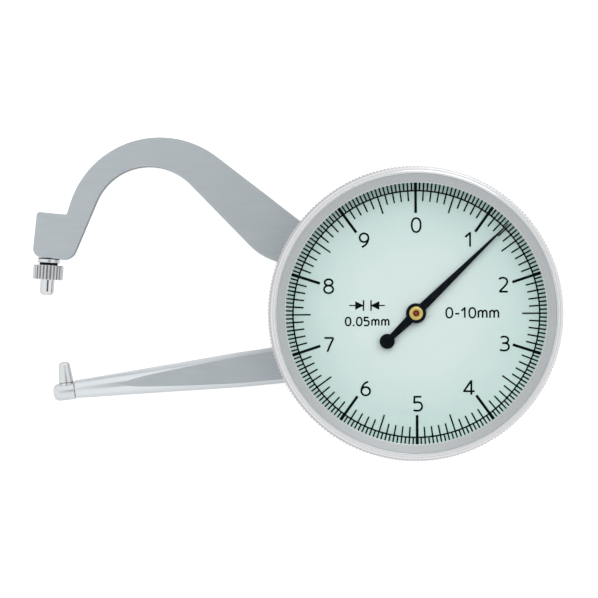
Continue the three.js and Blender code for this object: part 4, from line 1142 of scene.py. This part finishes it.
def dress_works():
    """Gives each node its finish; numbered ones, such as the screws, share their family's."""
    for name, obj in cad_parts.items():
        family = name.rstrip("0123456789").rstrip("_") if name[-1].isdigit() else name
        material = NODE_FINISH.get(family)
        if material:
            for slot in obj.material_slots:
                slot.material = material


dress_works()

# Floor, light and camera

def seen_strength(tree, unseen, mirrored, direct):
    """A strength for the rays that see the backdrop directly or through glass, or mirrored."""
    path = node(tree, "ShaderNodeLightPath")
    through = node(tree, "ShaderNodeMath", operation="MAXIMUM")
    tree.links.new(path.outputs["Is Camera Ray"], through.inputs[0])
    tree.links.new(path.outputs["Is Transmission Ray"], through.inputs[1])
    glossy = ranged(tree, path.outputs["Is Glossy Ray"], unseen, mirrored, 0, 1)
    strength = node(tree, "ShaderNodeMix", data_type="FLOAT")
    tree.links.new(through.outputs["Value"], strength.inputs["Factor"])
    tree.links.new(glossy, strength.inputs["A"])
    strength.inputs["B"].default_value = direct
    return strength.outputs["Result"]


def make_floor():
    half = 3000
    floor = make_object("floor", [c.to_3d() for c in box(half, half)], [[0, 1, 2, 3]])
    material, tree, shader = new_material("floor_white")
    set_values(shader, {
        "Base Color": (0.82, 0.82, 0.82, 1), "Roughness": 0.9, "Specular IOR Level": 0.0,
        "Emission Color": WHITE,
    })
    strength = seen_strength(tree, unseen=0, mirrored=0.12, direct=0.62)
    tree.links.new(strength, shader.inputs["Emission Strength"])
    floor.data.materials.append(material)


def make_world():
    world = bpy.data.worlds.new("studio")
    bpy.context.scene.world = world
    world.use_nodes = True
    tree = world.node_tree
    background = tree.nodes["Background"]
    background.inputs["Color"].default_value = WHITE
    strength = seen_strength(tree, unseen=0.6, mirrored=1, direct=1)
    tree.links.new(strength, background.inputs["Strength"])


LAMP_AIM = Vector((-18, 0, 5))


def make_lamp(name, place, size, power, mirrored=False):
    """A round lamp, which the metal and the crystal mirror only if it is told so."""
    data = bpy.data.lights.new(name, "AREA")
    data.shape = "DISK"
    data.size = size * MM
    data.energy = power
    lamp = add_object(name, data)
    lamp.location = Vector(place) * MM
    aim = LAMP_AIM * MM - lamp.location
    lamp.rotation_euler = aim.to_track_quat("-Z", "Y").to_euler()
    lamp.visible_glossy = mirrored


def make_card(name, centre, half_x, half_y):
    """A dark card over the gauge, seen only in what the metal and the crystal mirror."""
    x, y, z = centre
    round_off = 30
    outline = rounded([(x + c.x, y + c.y, round_off) for c in box(half_x, half_y)])
    verts = [(p.x, p.y, z) for p in outline]
    card = make_object(name, verts, [list(range(len(verts)))])
    material, _, shader = new_material(name)
    set_values(shader, {"Base Color": (0.02, 0.05, 0.09, 1), "Roughness": 1.0})
    card.data.materials.append(material)
    card.visible_camera = False
    card.visible_diffuse = False
    card.visible_shadow = False


CAMERA_PLACE = Vector((-18.89, 2.31, 462))
SENSOR = 36
LENS = 167.64
FAR_METRES = 10


def make_camera():
    """Looks straight down on the dial, as the photograph does."""
    data = bpy.data.cameras.new("camera")
    data.sensor_width = SENSOR
    data.lens = LENS
    data.clip_end = FAR_METRES
    camera = add_object("camera", data)
    camera.location = CAMERA_PLACE * MM
    bpy.context.scene.camera = camera


make_floor()
make_world()
make_lamp("key", (220, 480, 620), size=860, power=2.5)
make_lamp("fill", (-520, 40, 560), size=700, power=1.0)
make_lamp("gleam", (165, 560, 420), size=420, power=0.3, mirrored=True)
make_card("camera_card", (25, 2, 470), half_x=120, half_y=85)
make_camera()

bpy.context.scene.view_settings.view_transform = "Standard"
